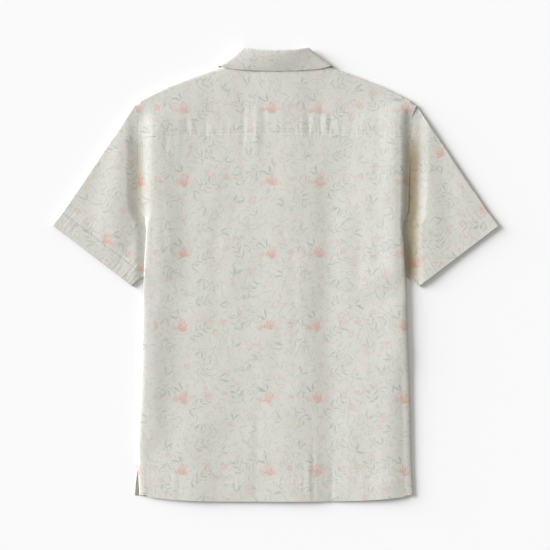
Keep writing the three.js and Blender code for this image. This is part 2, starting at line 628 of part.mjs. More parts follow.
// The collar, in one piece round the neck. A section runs from the neckline up the stand, over the
// roll and down the leaf; on the front half the leaf lies under the stand.
const COLLAR_ROWS = [
  0, 0.09, 0.17, 0.24, 0.3, 0.345, 0.38, 0.41, 0.44, 0.4575, 0.475, 0.4925, 0.51, 0.535, 0.56, 0.63,
  0.69, 0.75, 0.8, 0.85, 0.9, 0.95, 1,
];
const STAND_POINTS = 3;
const LEAF_POINTS = 4;
const ROLL_POINTS = 4;

function collarSection(signed) {
  const side = signed < 0 ? -1 : 1;
  const at = (column) => read(COLLAR, "at", column, Math.abs(signed));
  const followsNeck = COLLAR_NECK_SHARE + COLLAR_NECK_EASE;
  const followed = smoothstep(Math.abs(signed), COLLAR_NECK_SHARE, followsNeck);
  const neckY = frontTopY(at("baseX")) + COLLAR_NECK_GAP;
  const base = new THREE.Vector3(
    side * at("baseX"),
    lerp(at("baseY"), neckY, followed),
    at("baseZ"),
  );
  const roll = new THREE.Vector3(side * at("rollX"), at("rollY"), at("rollZ"));
  const edge = new THREE.Vector3(side * at("edgeX"), at("edgeY"), at("edgeZ"));
  const radius = at("radius");
  const lean = THREE.MathUtils.degToRad(at("lean"));
  const rise = new THREE.Vector3(roll.x - edge.x, roll.y - edge.y, 0).normalize();
  const outward = new THREE.Vector3(side * rise.y, -side * rise.x, 0);
  const over = outward.multiplyScalar(Math.cos(lean)).setZ(Math.sin(lean));
  const centre = roll.clone().addScaledVector(rise, -radius);
  const standTop = centre.clone().addScaledVector(over, -radius);
  const leafTop = centre.clone().addScaledVector(over, radius);
  return [
    ...shares(STAND_POINTS).map((t) => base.clone().lerp(standTop, t)),
    ...shares(ROLL_POINTS)
      .slice(1, -1)
      .map((t) =>
        centre
          .clone()
          .addScaledVector(rise, radius * Math.sin(t * Math.PI))
          .addScaledVector(over, -radius * Math.cos(t * Math.PI)),
      ),
    ...shares(LEAF_POINTS).map((t) => leafTop.clone().lerp(edge, t)),
  ];
}

function makeCollar() {
  const left = COLLAR_ROWS.map((at) => collarSection(-at - Number.EPSILON)).reverse();
  return clothWall([...left, ...COLLAR_ROWS.slice(1).map(collarSection)]);
}

// A shirt button, turned, dished on the face that lies on the table
const BUTTON_PROFILE = [
  [0, 0.8],
  [3.4, 0.8],
  [4.1, 0],
  [5.2, 0],
  [BUTTON_RADIUS, 0.6],
  [BUTTON_RADIUS - 0.3, BUTTON_HEIGHT - 0.2],
  [BUTTON_RADIUS - 1, BUTTON_HEIGHT],
  [0, BUTTON_HEIGHT],
];

function makeButton() {
  const profile = BUTTON_PROFILE.map(([radius, height]) => new THREE.Vector2(radius, height));
  return new THREE.LatheGeometry(profile, 12).rotateX(Math.PI / 2);
}

const cloth = new THREE.MeshStandardMaterial({ color: 0xd0cec4, roughness: 0.9, metalness: 0 });
const shell = new THREE.MeshStandardMaterial({ color: 0xe9e3d5, roughness: 0.35, metalness: 0 });

const shirt = new THREE.Group();

function addPiece(name, geometry, material) {
  const piece = new THREE.Mesh(geometry, material);
  piece.name = name;
  shirt.add(piece);
  return piece;
}

addPiece("back", makeBack(), cloth);
addPiece("yoke", makeYoke(), cloth);
addPiece("front_left", makeFront(-1), cloth);
addPiece("front_right", makeFront(1), cloth);
addPiece("sleeve_left", makeSleeve(-1), cloth);
addPiece("sleeve_right", makeSleeve(1), cloth);
addPiece("collar", makeCollar(), cloth);
for (let i = 0; i < BUTTON_COUNT; i++) {
  const button = addPiece(`button_${i + 1}`, makeButton(), shell);
  button.position.set(0, BUTTON_TOP_Y - i * BUTTON_PITCH, 0);
}

export default shirt;
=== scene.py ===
# A short-sleeve shirt with a camp collar in faded flower print, laid flat and face down, back up.
# Sizes in the sections are in millimetres, as in the solids; meshes are made in metres.
# X runs to the right of the laid shirt, Y towards its collar, Z up from the surface it lies on.

import math

import bpy
import numpy as np
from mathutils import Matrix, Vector


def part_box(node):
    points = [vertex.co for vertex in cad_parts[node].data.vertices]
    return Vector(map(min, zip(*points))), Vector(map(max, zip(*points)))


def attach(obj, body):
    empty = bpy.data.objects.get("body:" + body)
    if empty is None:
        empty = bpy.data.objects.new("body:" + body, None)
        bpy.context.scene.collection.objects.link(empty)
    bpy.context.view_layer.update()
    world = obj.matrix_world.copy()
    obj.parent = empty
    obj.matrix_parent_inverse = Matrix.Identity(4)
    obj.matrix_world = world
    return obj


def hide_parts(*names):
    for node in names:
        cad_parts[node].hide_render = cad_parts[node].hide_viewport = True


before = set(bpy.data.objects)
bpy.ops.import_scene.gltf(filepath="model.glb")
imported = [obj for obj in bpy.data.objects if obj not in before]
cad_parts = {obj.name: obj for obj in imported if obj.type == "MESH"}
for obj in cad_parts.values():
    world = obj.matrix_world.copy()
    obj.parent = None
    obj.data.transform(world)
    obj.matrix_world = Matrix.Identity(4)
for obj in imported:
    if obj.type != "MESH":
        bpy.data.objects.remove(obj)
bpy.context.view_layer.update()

# The back panel: one piece of light printed cotton from the hem to the yoke seam. It wraps round
# both side folds to its side seams underneath, has a turned hem stitched 33 mm deep, and its top
# edge is tucked under the yoke.
CLOTH_OUT = 0.6  # from the middle of the solid's wall out to the cloth's printed face
CLOTH_IN = 0.1  # and in to its reverse
BODY_HALF_WIDTH = 236
YOKE_SEAM_Y = 244
ARMPIT_Y = 33
BACK_HEM_DEPTH = 33
SEAM_GAP = 0.3
LOFT = 5.4
NECK_SWELL = dict(y=352, half_width=95, half_depth=42, height=1.8)
GATHER_REACH = {"yoke": 9, "below_yoke": 4.5, "hem": 7}
HEM_SAG = 0.9
HEM_SAG_REACH = 30
HEM_EXTRA = 0.25  # the turned hem's added thickness
FLOOR_LAYER = 0.6
FOLD_ROLL = 8
FOLD_FULLNESS = 0.6
SIDE_SLOPE = {-1: (0.5, 0.5), 1: (0.5, 0.3)}
SEAM_ALLOWANCE = 6
SEAM_SINK = 1.1


def rows_of(columns, *rows):
    """A table with named columns, as a dictionary of arrays."""
    return dict(zip(columns.split(), np.array(rows, float).T))


def ease(value, start, end):
    """0 before start, 1 after end, smooth between."""
    t = np.clip((value - start) / (end - start), 0, 1)
    return t * t * (3 - 2 * t)


def mix(a, b, share):
    return a + (b - a) * share


def read(table, key, column, at):
    """Reads a column between its rows on a smooth curve that never overshoots them."""
    keys, values = table[key], table[column]
    steps = np.diff(values) / np.diff(keys)
    before, after = steps[:-1], steps[1:]
    turning = before * after <= 0
    inner = np.where(turning, 0, 2 * before * after / np.where(turning, 1, before + after))
    slopes = np.concatenate([steps[:1], inner, steps[-1:]])
    i = np.clip(np.searchsorted(keys, at, side="right") - 1, 0, len(keys) - 2)
    span = keys[i + 1] - keys[i]
    t = np.clip((at - keys[i]) / span, 0, 1)
    swing = t * (1 - t) ** 2 * slopes[i] - t * t * (1 - t) * slopes[i + 1]
    return values[i] + (values[i + 1] - values[i]) * t * t * (3 - 2 * t) + span * swing


def read_straight(table, key, column, at):
    return np.interp(at, table[key], table[column])


# The armhole seam, the side seam under the fold, and the folds along both sides of the body.
ARMHOLE = rows_of(
    "y left right",
    (33, -181, 181),
    (66, -207, 206.5),
    (98, -231, 226),
    (112, -237, 229),
    (134, -238.6, 229.5),
    (268, -237.4, 234.6),
    (280, -239.2, 238),
    (291.5, -243, 243),
)
SIDE_SEAM = rows_of(
    "y left right",
    (-391, -226, 219.5),
    (-300, -225, 217),
    (-245, -221.5, 215),
    (-190, -217.5, 213),
    (-135, -213, 210),
    (-80, -207, 206),
    (-25, -198.5, 198.5),
    (33, -181, 181),
)
SIDE_FOLD = {
    -1: rows_of(
        "y edge curl end_height",
        (-391, -233.4, 0.5, 2.3),
        (-330, -236, 0.5, 2.3),
        (-300, -236.2, 1, 0.6),
        (-180, -231, 1, 0.6),
        (-80, -228.6, 1, 0.6),
        (-25, -226.6, 1, 3.9),
        (62, -222.6, 1, 3.9),
        (88, -223.4, 0.5, 4.2),
        (112, -215.5, 0, 3.8),
        (244, -213, 0, 3.8),
    ),
    1: rows_of(
        "y edge curl end_height",
        (-391, 237.4, 1, 0.6),
        (-330, 234, 1, 0.6),
        (-180, 230.3, 1, 0.6),
        (-80, 226.2, 1, 0.6),
        (-25, 223.8, 1, 3.9),
        (56, 219.8, 1, 3.9),
        (84, 220, 0.5, 4.2),
        (112, 220.5, 0, 3.8),
        (244, 220, 0, 3.8),
    ),
}
SIDE_NAME = {-1: "left", 1: "right"}
SOFT_ROLL = {-1: (3.5, 100), 1: (5, 0)}  # a wider roll along each side, and where it begins

# Soft folds of the upper layer, as in the solid.
BODY_FOLDS = rows_of(
    "x0 y0 x1 y1 width height",
    (-200, 292, -201, -30, 32, 2.4),
    (-211, -30, -216, -300, 26, 1.9),
    (-230, -300, -236, -430, 26, -0.9),
    (-140, -230, -138, -420, 32, 1.5),
    (-160, 150, -158, -200, 24, -0.6),
    (20, 330, 24, -440, 48, 1.2),
    (46, 180, 48, -440, 26, 0.5),
    (92, 170, 96, -440, 20, -1),
    (155, -60, 150, -440, 40, 0.6),
    (190, 300, 186, -60, 60, 1.2),
    (206, 300, 210, -24, 24, 3.4),
    (212, -24, 200, -440, 30, 3.2),
)
# Finer creases, laid on those folds: puckers by the yoke seam and soft streaks below it.
BODY_CREASES = rows_of(
    "x0 y0 x1 y1 width height",
    (-187, 262, -189, 205, 4, -0.36),
    (-166, 268, -168, 200, 6, 0.27),
    (-153, 272, -152, 238, 3.2, -0.36),
    (-144, 266, -143, 241, 3, 0.27),
    (-119, 268, -121, 232, 3, -0.27),
    (-110, 262, -110, 240, 2.8, 0.27),
    (-84, 270, -85, 236, 3.4, -0.27),
    (-54, 306, -57, 200, 5, -0.41),
    (-32, 312, -33, 205, 6, 0.41),
    (-18, 300, -20, 225, 4, -0.27),
    (12, 285, 11, 230, 5, 0.18),
    (46, 286, 47, 238, 4, 0.32),
    (56, 275, 57, 243, 3, -0.41),
    (65, 280, 66, 242, 3, 0.27),
    (77, 278, 77, 246, 2.6, -0.36),
    (86, 280, 87, 242, 3, 0.36),
    (95, 279, 95, 247, 2.6, -0.41),
    (106, 272, 107, 240, 3, 0.27),
    (131, 276, 134, 238, 4, -0.23),
    (150, 270, 151, 240, 3.4, 0.27),
    (176, 284, 180, 216, 5, -0.23),
    (-196, 150, -190, 20, 6, -0.23),
    (-100, 120, -103, -60, 9, -0.23),
    (32, 60, 35, -190, 9, -0.23),
    (146, 130, 141, -40, 9, -0.23),
    (-30, -210, -33, -400, 7, -0.23),
    (56, -300, 58, -400, 4, 0.32),
    (64, -290, 66, -400, 3.4, -0.36),
    (96, -320, 97, -400, 4, -0.27),
    (-172, -330, -175, -400, 5, 0.23),
    (150, -330, 152, -400, 5, 0.23),
    (172, 300, 174, -40, 32, 1.3),
    (176, -40, 168, -440, 32, 0.9),
    (246, -150, 240, -440, 62, -2.2),
    (120, -300, 120, -440, 90, -0.8),
)
# Long low waves over the whole cloth: wave lengths across and along, phase and height.
CLOTH_WAVES = rows_of(
    "across along phase height",
    (97, 310, 0.4, 0.1),
    (61, -420, 2.1, 0.07),
    (-143, 190, 4.0, 0.12),
    (41, 260, 1.2, 0.03),
    (29, -150, 5.2, 0.02),
    (-83, 73, 3.1, 0.05),
    (23, 61, 0.9, 0.015),
)
# How strongly a seam gathers the cloth, along its length in mm from the middle.
SEAM_GATHERS = rows_of(
    "x share",
    (-240, 0.5),
    (-190, 1),
    (-160, 0.5),
    (-150, 1),
    (-130, 0.3),
    (-114, 0.9),
    (-85, 0.7),
    (-62, 0.3),
    (-40, 0.9),
    (-15, 0.5),
    (20, 0.3),
    (56, 1.2),
    (95, 1.2),
    (112, 0.6),
    (150, 0.7),
    (200, 0.6),
    (240, 0.8),
)


def fold_height(fold, x, y):
    """Height of one fold over a place: a bell across its line, fading past the line's ends."""
    dx, dy = fold["x1"] - fold["x0"], fold["y1"] - fold["y0"]
    length = math.hypot(dx, dy)
    along = ((x - fold["x0"]) * dx + (y - fold["y0"]) * dy) / length
    across = ((y - fold["y0"]) * dx - (x - fold["x0"]) * dy) / length
    reach = min(40, length / 3)
    past_end = 0.375 * reach
    fade = ease(along, -past_end, reach) * (1 - ease(along, length - reach, length + past_end))
    return fold["height"] * fade * np.exp(-((across / fold["width"]) ** 2))


def folds_height(folds, x, y):
    count = len(folds["x0"])
    each = ({name: column[i] for name, column in folds.items()} for i in range(count))
    return sum(fold_height(fold, x, y) for fold in each)


def waves_height(x, y):
    return sum(
        height * np.sin(2 * math.pi * (x / across + y / along) + phase)
        for across, along, phase, height in zip(*CLOTH_WAVES.values())
    )


def body_top(x, y):
    """The middle of the solid's upper layer over a place."""
    across, along = x / NECK_SWELL["half_width"], (y - NECK_SWELL["y"]) / NECK_SWELL["half_depth"]
    swell = NECK_SWELL["height"] * np.exp(-(across**2) - along**2)
    return LOFT + swell + folds_height(BODY_FOLDS, x, y)


def gathers(along, away, reach, height=0.15):
    """Small puckers that a line of stitches pulls in the cloth, strongest at the line."""
    ripple = (
        np.sin(2 * math.pi * along / 7.3 + 1.1 * np.sin(along / 13))
        + 0.7 * np.sin(2 * math.pi * along / 4.7 + 2.0)
        + 0.6 * np.sin(2 * math.pi * along / 11.9 + 0.7)
    )
    share = read(SEAM_GATHERS, "x", "share", along)
    return height * share * ripple * np.exp(-np.abs(away) / reach)


def yoke_seam_y(x):
    return YOKE_SEAM_Y - 8 * (x / BODY_HALF_WIDTH) ** 2


def back_hem_y(x):
    return -390.6 + 11 * np.minimum(1, np.abs(x / BODY_HALF_WIDTH)) ** 4


def cloth_top(x, y):
    """The upper layer with its finer creases, waves and puckers."""
    from_seam = y - yoke_seam_y(x)
    from_hem = y - back_hem_y(x) - BACK_HEM_DEPTH
    fine = folds_height(BODY_CREASES, x, y) + waves_height(x, y)
    seam_reach = np.where(from_seam > 0, GATHER_REACH["yoke"], GATHER_REACH["below_yoke"])
    fine = fine + gathers(x, from_seam, seam_reach)
    fine = fine + gathers(x + 31, from_hem, GATHER_REACH["hem"], 0.13)
    fine = fine - HEM_SAG * np.exp(-np.maximum(from_hem + BACK_HEM_DEPTH, 0) / HEM_SAG_REACH)
    return body_top(x, y) + fine


def armhole_x(side, y):
    return read_straight(ARMHOLE, "y", SIDE_NAME[side], y)


def side_seam_x(side, y):
    return read_straight(SIDE_SEAM, "y", SIDE_NAME[side], y)


def spaced(*stops_and_steps):
    """Values from stop to stop, no further apart than the step between each two stops."""
    stops, steps = stops_and_steps[::2], stops_and_steps[1::2]
    values = [np.array([stops[0]], float)]
    for start, end, step in zip(stops, stops[1:], steps):
        count = max(1, math.ceil(abs(end - start) / step))
        values.append(np.linspace(start, end, count + 1)[1:])
    return np.concatenate(values)


def back_side(side, y, top):
    """One side of a row of the back, from the top of the side roll out and under to the seam."""
    fold = SIDE_FOLD[side]
    edge = read(fold, "y", "edge", y)
    curl = read(fold, "y", "curl", y)
    end_height = read(fold, "y", "end_height", y)
    softer, below = SOFT_ROLL[side]
    root = edge - side * (FOLD_ROLL + softer * ease(below - y, 0, 60))
    root_height = top(root, y)
    wrapped = np.clip(2 * curl - 1, 0, 1)
    hung = np.clip(2 * curl, 0, 1)
    under = armhole_x(side, y) - side * 2 * SEAM_GAP if y > ARMPIT_Y else side_seam_x(side, y)
    seam = mix(under, edge, hung) if curl < 0.5 else mix(edge, under, wrapped)
    reach = (edge - (root + seam) / 8) / 0.75
    near_slope, far_slope = (share * (seam - root) for share in SIDE_SLOPE[side])
    bulge = FOLD_FULLNESS * (edge - root)
    near = mix(near_slope, bulge, hung) if curl < 0.5 else mix(bulge, reach - root, wrapped)
    turn = math.pi * (1 - curl)
    far = math.cos(turn) * (far_slope if curl < 0.5 else reach - seam)
    far_rise = FOLD_FULLNESS * math.sin(turn) * (root_height - end_height)
    handles = np.array(
        [
            (root, root_height),
            (root + near, root_height),
            (seam + far, end_height + far_rise),
            (seam, end_height),
        ]
    )
    t = np.linspace(0, 1, 19)[:, None]
    shares = ((1 - t) ** 3, 3 * t * (1 - t) ** 2, 3 * t * t * (1 - t), t**3)
    return sum(share * handle for share, handle in zip(shares, handles))


def back_row(share, top):
    """One row of the back, at a share of its length from hem to seam: x, y and z of each point."""
    side_hem = back_hem_y(BODY_HALF_WIDTH)
    side_y = mix(side_hem, yoke_seam_y(BODY_HALF_WIDTH), share)
    left = back_side(-1, side_y, top)[::-1]
    right = back_side(1, side_y, top)
    x = np.linspace(left[-1, 0], right[0, 0], 211)[1:-1]
    y = mix(back_hem_y(x), yoke_seam_y(x) - SEAM_GAP / 2, share)
    left = np.insert(left, 1, side_y, axis=1)
    right = np.insert(right, 1, side_y, axis=1)
    return np.concatenate([left, np.stack([x, y, top(x, y)], axis=1), right])


def cloth_shell(name, grid, flat, tube=False, extra=0.0):
    """Turns rows of points on the middle of the solid's wall into a closed shell of cloth, with
    its flat cut as UV map. The outer side is where the columns' direction crossed with the rows'
    points. A tube's flat cut has one column more, where it closes."""
    row_count, column_count = grid.shape[:2]
    across = np.gradient(grid, axis=1)
    if tube:
        across = np.roll(grid, -1, axis=1) - np.roll(grid, 1, axis=1)
    normal = np.cross(across, np.gradient(grid, axis=0))
    normal /= np.linalg.norm(normal, axis=2, keepdims=True)
    reach = CLOTH_OUT + np.broadcast_to(extra, grid.shape[:2])
    outer = grid + normal * reach[..., None]
    inner = grid - normal * CLOTH_IN
    inner_start = row_count * column_count
    corner = np.arange(inner_start).reshape(row_count, column_count)
    if tube:
        corner = np.concatenate([corner, corner[:, :1]], axis=1)
    place = np.arange(corner.size).reshape(corner.shape)

    def face_quads(index):
        corners = [index[:-1, :-1], index[:-1, 1:], index[1:, 1:], index[1:, :-1]]
        return np.stack(corners, axis=-1).reshape(-1, 4)

    def rim_quads(line, shift):
        return np.stack([line[:-1] + shift, line[1:] + shift, line[1:], line[:-1]], axis=-1)

    faces = [face_quads(corner), face_quads(corner)[:, ::-1] + inner_start]
    places = [face_quads(place), face_quads(place)[:, ::-1]]
    rims = [(0, slice(None)), (-1, slice(None, None, -1))]
    for row, order in rims:
        faces.append(rim_quads(corner[row][order], inner_start))
        places.append(rim_quads(place[row][order], 0))
    if not tube:
        for column, order in ((0, slice(None, None, -1)), (-1, slice(None))):
            faces.append(rim_quads(corner[:, column][order], inner_start))
            places.append(rim_quads(place[:, column][order], 0))
    sides = [np.full(len(part), i == 1, int) for i, part in enumerate(faces)]
    faces = np.concatenate(faces)
    places = np.concatenate(places)
    mesh = bpy.data.meshes.new(name)
    points = np.concatenate([outer.reshape(-1, 3), inner.reshape(-1, 3)]) / 1000
    mesh.from_pydata(points.tolist(), [], faces.tolist())
    cut = mesh.uv_layers.new(name="flat_cut")
    cut.data.foreach_set("uv", (flat.reshape(-1, 2)[places.ravel()] / 1000).ravel())
    mesh.polygons.foreach_set("material_index", np.concatenate(sides))
    # Painted shade: how far each point lies in a hollow, for the material to darken and brown it
    # there.
    hollow_shade = mesh.attributes.new("hollow_shade", "FLOAT", "POINT")
    hollow_shade.data.foreach_set("value", hollow_shade_share(points * 1000))
    mesh.shade_smooth()
    mesh.set_sharp_from_angle(angle=math.radians(55))
    mesh.update()
    piece = bpy.data.objects.new(name, mesh)
    bpy.context.collection.objects.link(piece)
    return piece


# The hollows between the body and the sleeves, where the cloth is painted browner and darker as
# shade.
SHADED_HOLLOWS = rows_of(
    "x0 y0 x1 y1 width height",
    (237, 240, 233, -24, 13, 1),
    (-239, 240, -237, 80, 10, 0.5),
)


def hollow_shade_share(points):
    return folds_height(SHADED_HOLLOWS, points[:, 0], points[:, 1])


def arc_lengths(grid, middle):
    """Length along each row from its middle column, negative before it."""
    steps = np.linalg.norm(np.diff(grid, axis=1), axis=2)
    lengths = np.concatenate([np.zeros((len(grid), 1)), np.cumsum(steps, axis=1)], axis=1)
    return lengths - lengths[:, middle : middle + 1]


def finish_cloth(piece, node, materials):
    """Gives a finished cloth piece its materials, hides the solid it stands for and attaches it to
    the root body.
    """
    for material in materials:
        piece.data.materials.append(material)
    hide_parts(node)
    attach(piece, "root")


# Inks of the faded print, the ecru ground that they are printed on, and the painted shade of the
# reverse and of the hollows.
GROUND = (0.634, 0.63, 0.583, 1)
GROUND_SHADE = (0.606, 0.602, 0.553, 1)
# Painted shade: the dark brown that the reverse is mixed towards, for the garment's insides in
# shade.
REVERSE_PAINTED_SHADE = (0.2, 0.18, 0.135, 1)
LEAF_GREEN = (0.365, 0.425, 0.355, 1)
DUSTY_BLUE = (0.40, 0.455, 0.455, 1)
CORAL = (0.6, 0.3, 0.255, 1)
PEACH = (0.70, 0.49, 0.41, 1)
OCHRE = (0.58, 0.50, 0.37, 1)
# Painted shade: the dark brown that the cloth's colour is multiplied by in the hollows.
HOLLOW_PAINTED_SHADE = (0.62, 0.525, 0.39, 1)
REPEAT = (231.3, 124.5)
FIRST_FLOWER = (72.2, 36.6, 0)
SECOND_FLOWER = 149.6  # from the first one, across the cloth
BEFORE_FLOWER = 40  # how far to the left of the first flower its repeat begins


def wire(socket, value):
    """Joins an output to a socket, or sets the socket to a value."""
    if isinstance(value, bpy.types.NodeSocket):
        socket.id_data.links.new(value, socket)
    else:
        socket.default_value = value


def node_on(kind, *values):
    """A new node in the node tree of the first of the values that is an output."""
    tree = next(value.id_data for value in values if isinstance(value, bpy.types.NodeSocket))
    return tree.nodes.new(kind)


def calc(operation, *values, clamp=False):
    node = node_on("ShaderNodeMath", *values)
    node.operation = operation
    node.use_clamp = clamp
    for socket, value in zip(node.inputs, values):
        wire(socket, value)
    return node.outputs[0]


def times(*values):
    return calc("MULTIPLY", *values)


def times_plus(*values, clamp=False):
    return calc("MULTIPLY_ADD", *values, clamp=clamp)


def minus(*values, clamp=False):
    return calc("SUBTRACT", *values, clamp=clamp)


def magnitude(value):
    return calc("ABSOLUTE", value)


def calc_vector(operation, *values):
    node = node_on("ShaderNodeVectorMath", *values)
    node.operation = operation
    for socket, value in zip(node.inputs, values):
        wire(socket, value)
    return node.outputs["Value"] if operation == "LENGTH" else node.outputs["Vector"]


def parts_of(vector):
    node = node_on("ShaderNodeSeparateXYZ", vector)
    wire(node.inputs[0], vector)
    return node.outputs[0], node.outputs[1]


def spun(vector, angle):
    """A place turned about its own foot."""
    node = node_on("ShaderNodeVectorRotate", vector)
    node.rotation_type = "Z_AXIS"
    wire(node.inputs["Vector"], vector)
    wire(node.inputs["Angle"], angle)
    return node.outputs[0]


def noise(vector, scale, detail=1.0, output="Fac"):
    node = node_on("ShaderNodeTexNoise", vector)
    node.noise_dimensions = "2D"
    wire(node.inputs["Vector"], vector)
    node.inputs["Scale"].default_value = scale
    node.inputs["Detail"].default_value = detail
    return node.outputs[output]


def blended(share, first, second, way="MIX"):
    node = node_on("ShaderNodeMix", share, first, second)
    node.data_type = "RGBA"
    node.blend_type = way
    wire(node.inputs["Factor"], share)
    wire(node.inputs["A"], first)
    wire(node.inputs["B"], second)
    return node.outputs["Result"]


def new_group(name, inputs, outputs):
    """An empty shader node group with named sockets, its inputs' and its outputs' inner ends."""
    group = bpy.data.node_groups.new(name, "ShaderNodeTree")
    for label, kind in inputs.items():
        group.interface.new_socket(label, in_out="INPUT", socket_type=kind)
    for label, kind in outputs.items():
        group.interface.new_socket(label, in_out="OUTPUT", socket_type=kind)
    start = group.nodes.new("NodeGroupInput").outputs
    end = group.nodes.new("NodeGroupOutput").inputs
    return group, start, end


def placed_group(group, **values):
    node = node_on("ShaderNodeGroup", *values.values())
    node.node_tree = group
    for label, value in values.items():
        wire(node.inputs[label], value)
    return node.outputs


def leaf_mask(along, across, length, width, bend, soft=0.45):
    """A slender pointed leaf or brush stroke, from 0 to its length, bowed sideways by its bend."""
    share = calc("DIVIDE", along, length)
    left = minus(1.0, share)
    profile = times(times(share, left), 4.0)
    bowed = times_plus(profile, -bend, across)
    off_middle = times(magnitude(bowed), -1.0)
    room = times_plus(profile, width, off_middle)
    return calc("DIVIDE", room, soft, clamp=True)


def turned(along, across, angle):
    """Coordinates turned by an angle."""
    c, s = math.cos(angle), math.sin(angle)
    u = times_plus(across, s, times(along, c))
    v = times_plus(along, -s, times(across, c))
    return u, v


def between(value, low, high):
    above = calc("GREATER_THAN", value, low)
    return times(above, calc("LESS_THAN", value, high))


# Each motif is a group that reads a place in mm from the motif's own foot and gives a mask.
VECTOR, NUMBER, COLOUR = "NodeSocketVector", "NodeSocketFloat", "NodeSocketColor"

leaf_pair, start, end = new_group("leaf_pair", {"Place": VECTOR}, {"Mask": NUMBER})
x, y = parts_of(start["Place"])
u, v = turned(y, magnitude(x), math.radians(27))
blade = leaf_mask(u, v, length=16, width=1.9, bend=0.8)
vein = leaf_mask(u, v, length=14, width=0.35, bend=0.8, soft=0.3)
wire(end["Mask"], times_plus(vein, -0.45, blade))

SPRIG_LENGTH = 27.0
sprig, start, end = new_group("sprig", {"Place": VECTOR}, {"Mask": NUMBER})
x, y = parts_of(start["Place"])
on_stem = between(x, 0.0, SPRIG_LENGTH)
step_x = calc("MODULO", x, SPRIG_LENGTH / 3)
u, v = turned(step_x, magnitude(y), math.radians(44))
leaflets = leaf_mask(u, v, length=13, width=1.6, bend=1.0)
stem = calc("LESS_THAN", magnitude(y), 0.3)
inked = calc("MAXIMUM", leaflets, times(stem, 0.7))
wire(end["Mask"], times(inked, on_stem))

petal_fan, start, end = new_group(
    "petal_fan",
    {"Place": VECTOR, "Spread": NUMBER, "Petal Angle": NUMBER, "Reach": NUMBER},
    {"Lines": NUMBER, "Fill": NUMBER},
)
x, y = parts_of(start["Place"])
radius = calc_vector("LENGTH", start["Place"])
angle = calc("ARCTAN2", x, y)
share = calc("DIVIDE", angle, start["Spread"])
inside = calc("LESS_THAN", magnitude(share), 1.0)
ragged = calc("ADD", *(calc("SINE", times(angle, teeth)) for teeth in (19.0, 33.0)))
tip = times_plus(times(share, share), -0.3, 1.0)
tip = times_plus(ragged, 0.14, tip)
tip = times(tip, start["Reach"])
near = times(start["Reach"], 0.4)
inside = times(inside, between(radius, near, tip))
petal = calc("DIVIDE", angle, start["Petal Angle"])
off_line = times(calc("PINGPONG", petal, 0.5), start["Petal Angle"])
off_line = times(off_line, radius)
line = minus(1.25, times(off_line, 2.1), clamp=True)
wire(end["Lines"], times(line, inside))
wire(end["Fill"], inside)

blossom, start, end = new_group(
    "blossom", {"Place": VECTOR, "Radius": NUMBER}, {"Lines": NUMBER, "Fill": NUMBER}
)
x, y = parts_of(start["Place"])
radius = calc_vector("LENGTH", start["Place"])
angle = calc("ARCTAN2", x, y)
lobes = magnitude(calc("COSINE", times(angle, 2.5)))
edge = times(times_plus(lobes, 0.38, 0.62), start["Radius"])
gap = minus(radius, edge)
rim = minus(1.2, magnitude(gap), clamp=True)
rays = calc("PINGPONG", times(angle, 2.0), 0.5)
rays = calc("LESS_THAN", times(rays, radius), 0.5)
filled = calc("LESS_THAN", gap, 0.0)
rays = times(times(rays, filled), 0.7)
wire(end["Lines"], calc("MAXIMUM", rim, rays))
wire(end["Fill"], filled)

# Short strokes scattered all over, one in each cell, each at its own angle.
strokes, start, end = new_group(
    "scattered_strokes",
    {"Place": VECTOR, "Cell": NUMBER, "Length": NUMBER, "Width": NUMBER, "Share": NUMBER},
    {"Mask": NUMBER},
)
cells = strokes.nodes.new("ShaderNodeTexVoronoi")
cells.voronoi_dimensions = "2D"
wire(cells.inputs["Vector"], start["Place"])
wire(cells.inputs["Scale"], calc("DIVIDE", 1.0, start["Cell"]))
cells.inputs["Randomness"].default_value = 0.85
own_place = calc_vector("SUBTRACT", start["Place"], cells.outputs["Position"])
chance = strokes.nodes.new("ShaderNodeSeparateColor")
wire(chance.inputs[0], cells.outputs["Color"])
own_angle = times(chance.outputs[0], 2 * math.pi)
x, y = parts_of(spun(own_place, own_angle))
half = calc("DIVIDE", x, times(start["Length"], 0.5))
profile = minus(1.0, times(half, half))
bend = times(minus(chance.outputs[1], 0.5), 5.0)
bowed = minus(y, times(profile, bend))
bowed = magnitude(bowed)
room = minus(times(profile, start["Width"]), bowed)
mask = calc("DIVIDE", room, 0.4, clamp=True)
shown = calc("LESS_THAN", chance.outputs[2], start["Share"])
wire(end["Mask"], times(mask, shown))

# The larger motifs of one repeat: x and y in mm from the first flower, turn in degrees, then ink
# or size, and strength of the ink.
SPRIGS = (
    (26, -14, 35, "green", 0.85),
    (101, -6, 118, "green", 0.95),
    (131, 22, 215, "blue", 0.8),
    (196, -24, -40, "green", 0.7),
    (60, -62, 160, "blue", 0.7),
    (24, 41, 15, "green", 0.75),
)
LEAF_PAIRS = (
    (-4, 13, 42, 1.0),
    (145, 12, 36, 1.0),
    (14, -18, -125, 0.75),
    (90, -38, -20, 0.8),
    (34, -44, 150, 0.85),
    (172, -36, 80, 0.8),
    (66, 34, -75, 0.85),
    (112, 44, 12, 0.7),
    (-28, 40, -40, 0.75),
    (205, 14, 170, 0.7),
    (128, -58, 60, 0.7),
)
BLOSSOMS = (
    (47, 5, 6.5, 0.75),
    (71, 8, 5.0, 0.85),
    (116, -33, 7.5, 0.7),
    (186, 3, 5.0, 1.0),
    (8, -68, 5.0, 0.6),
    (60, -14, 6.0, 0.6),
    (97, 24, 5.5, 0.6),
)
BUDS = (
    (-34, -24, 40, 14.0, 0.8),
    (78, -50, -60, 14.0, 0.7),
    (48, 12, 70, 15.0, 0.7),
    (208, -52, 15, 13.0, 0.6),
    (160, 40, -120, 12.0, 0.6),
)

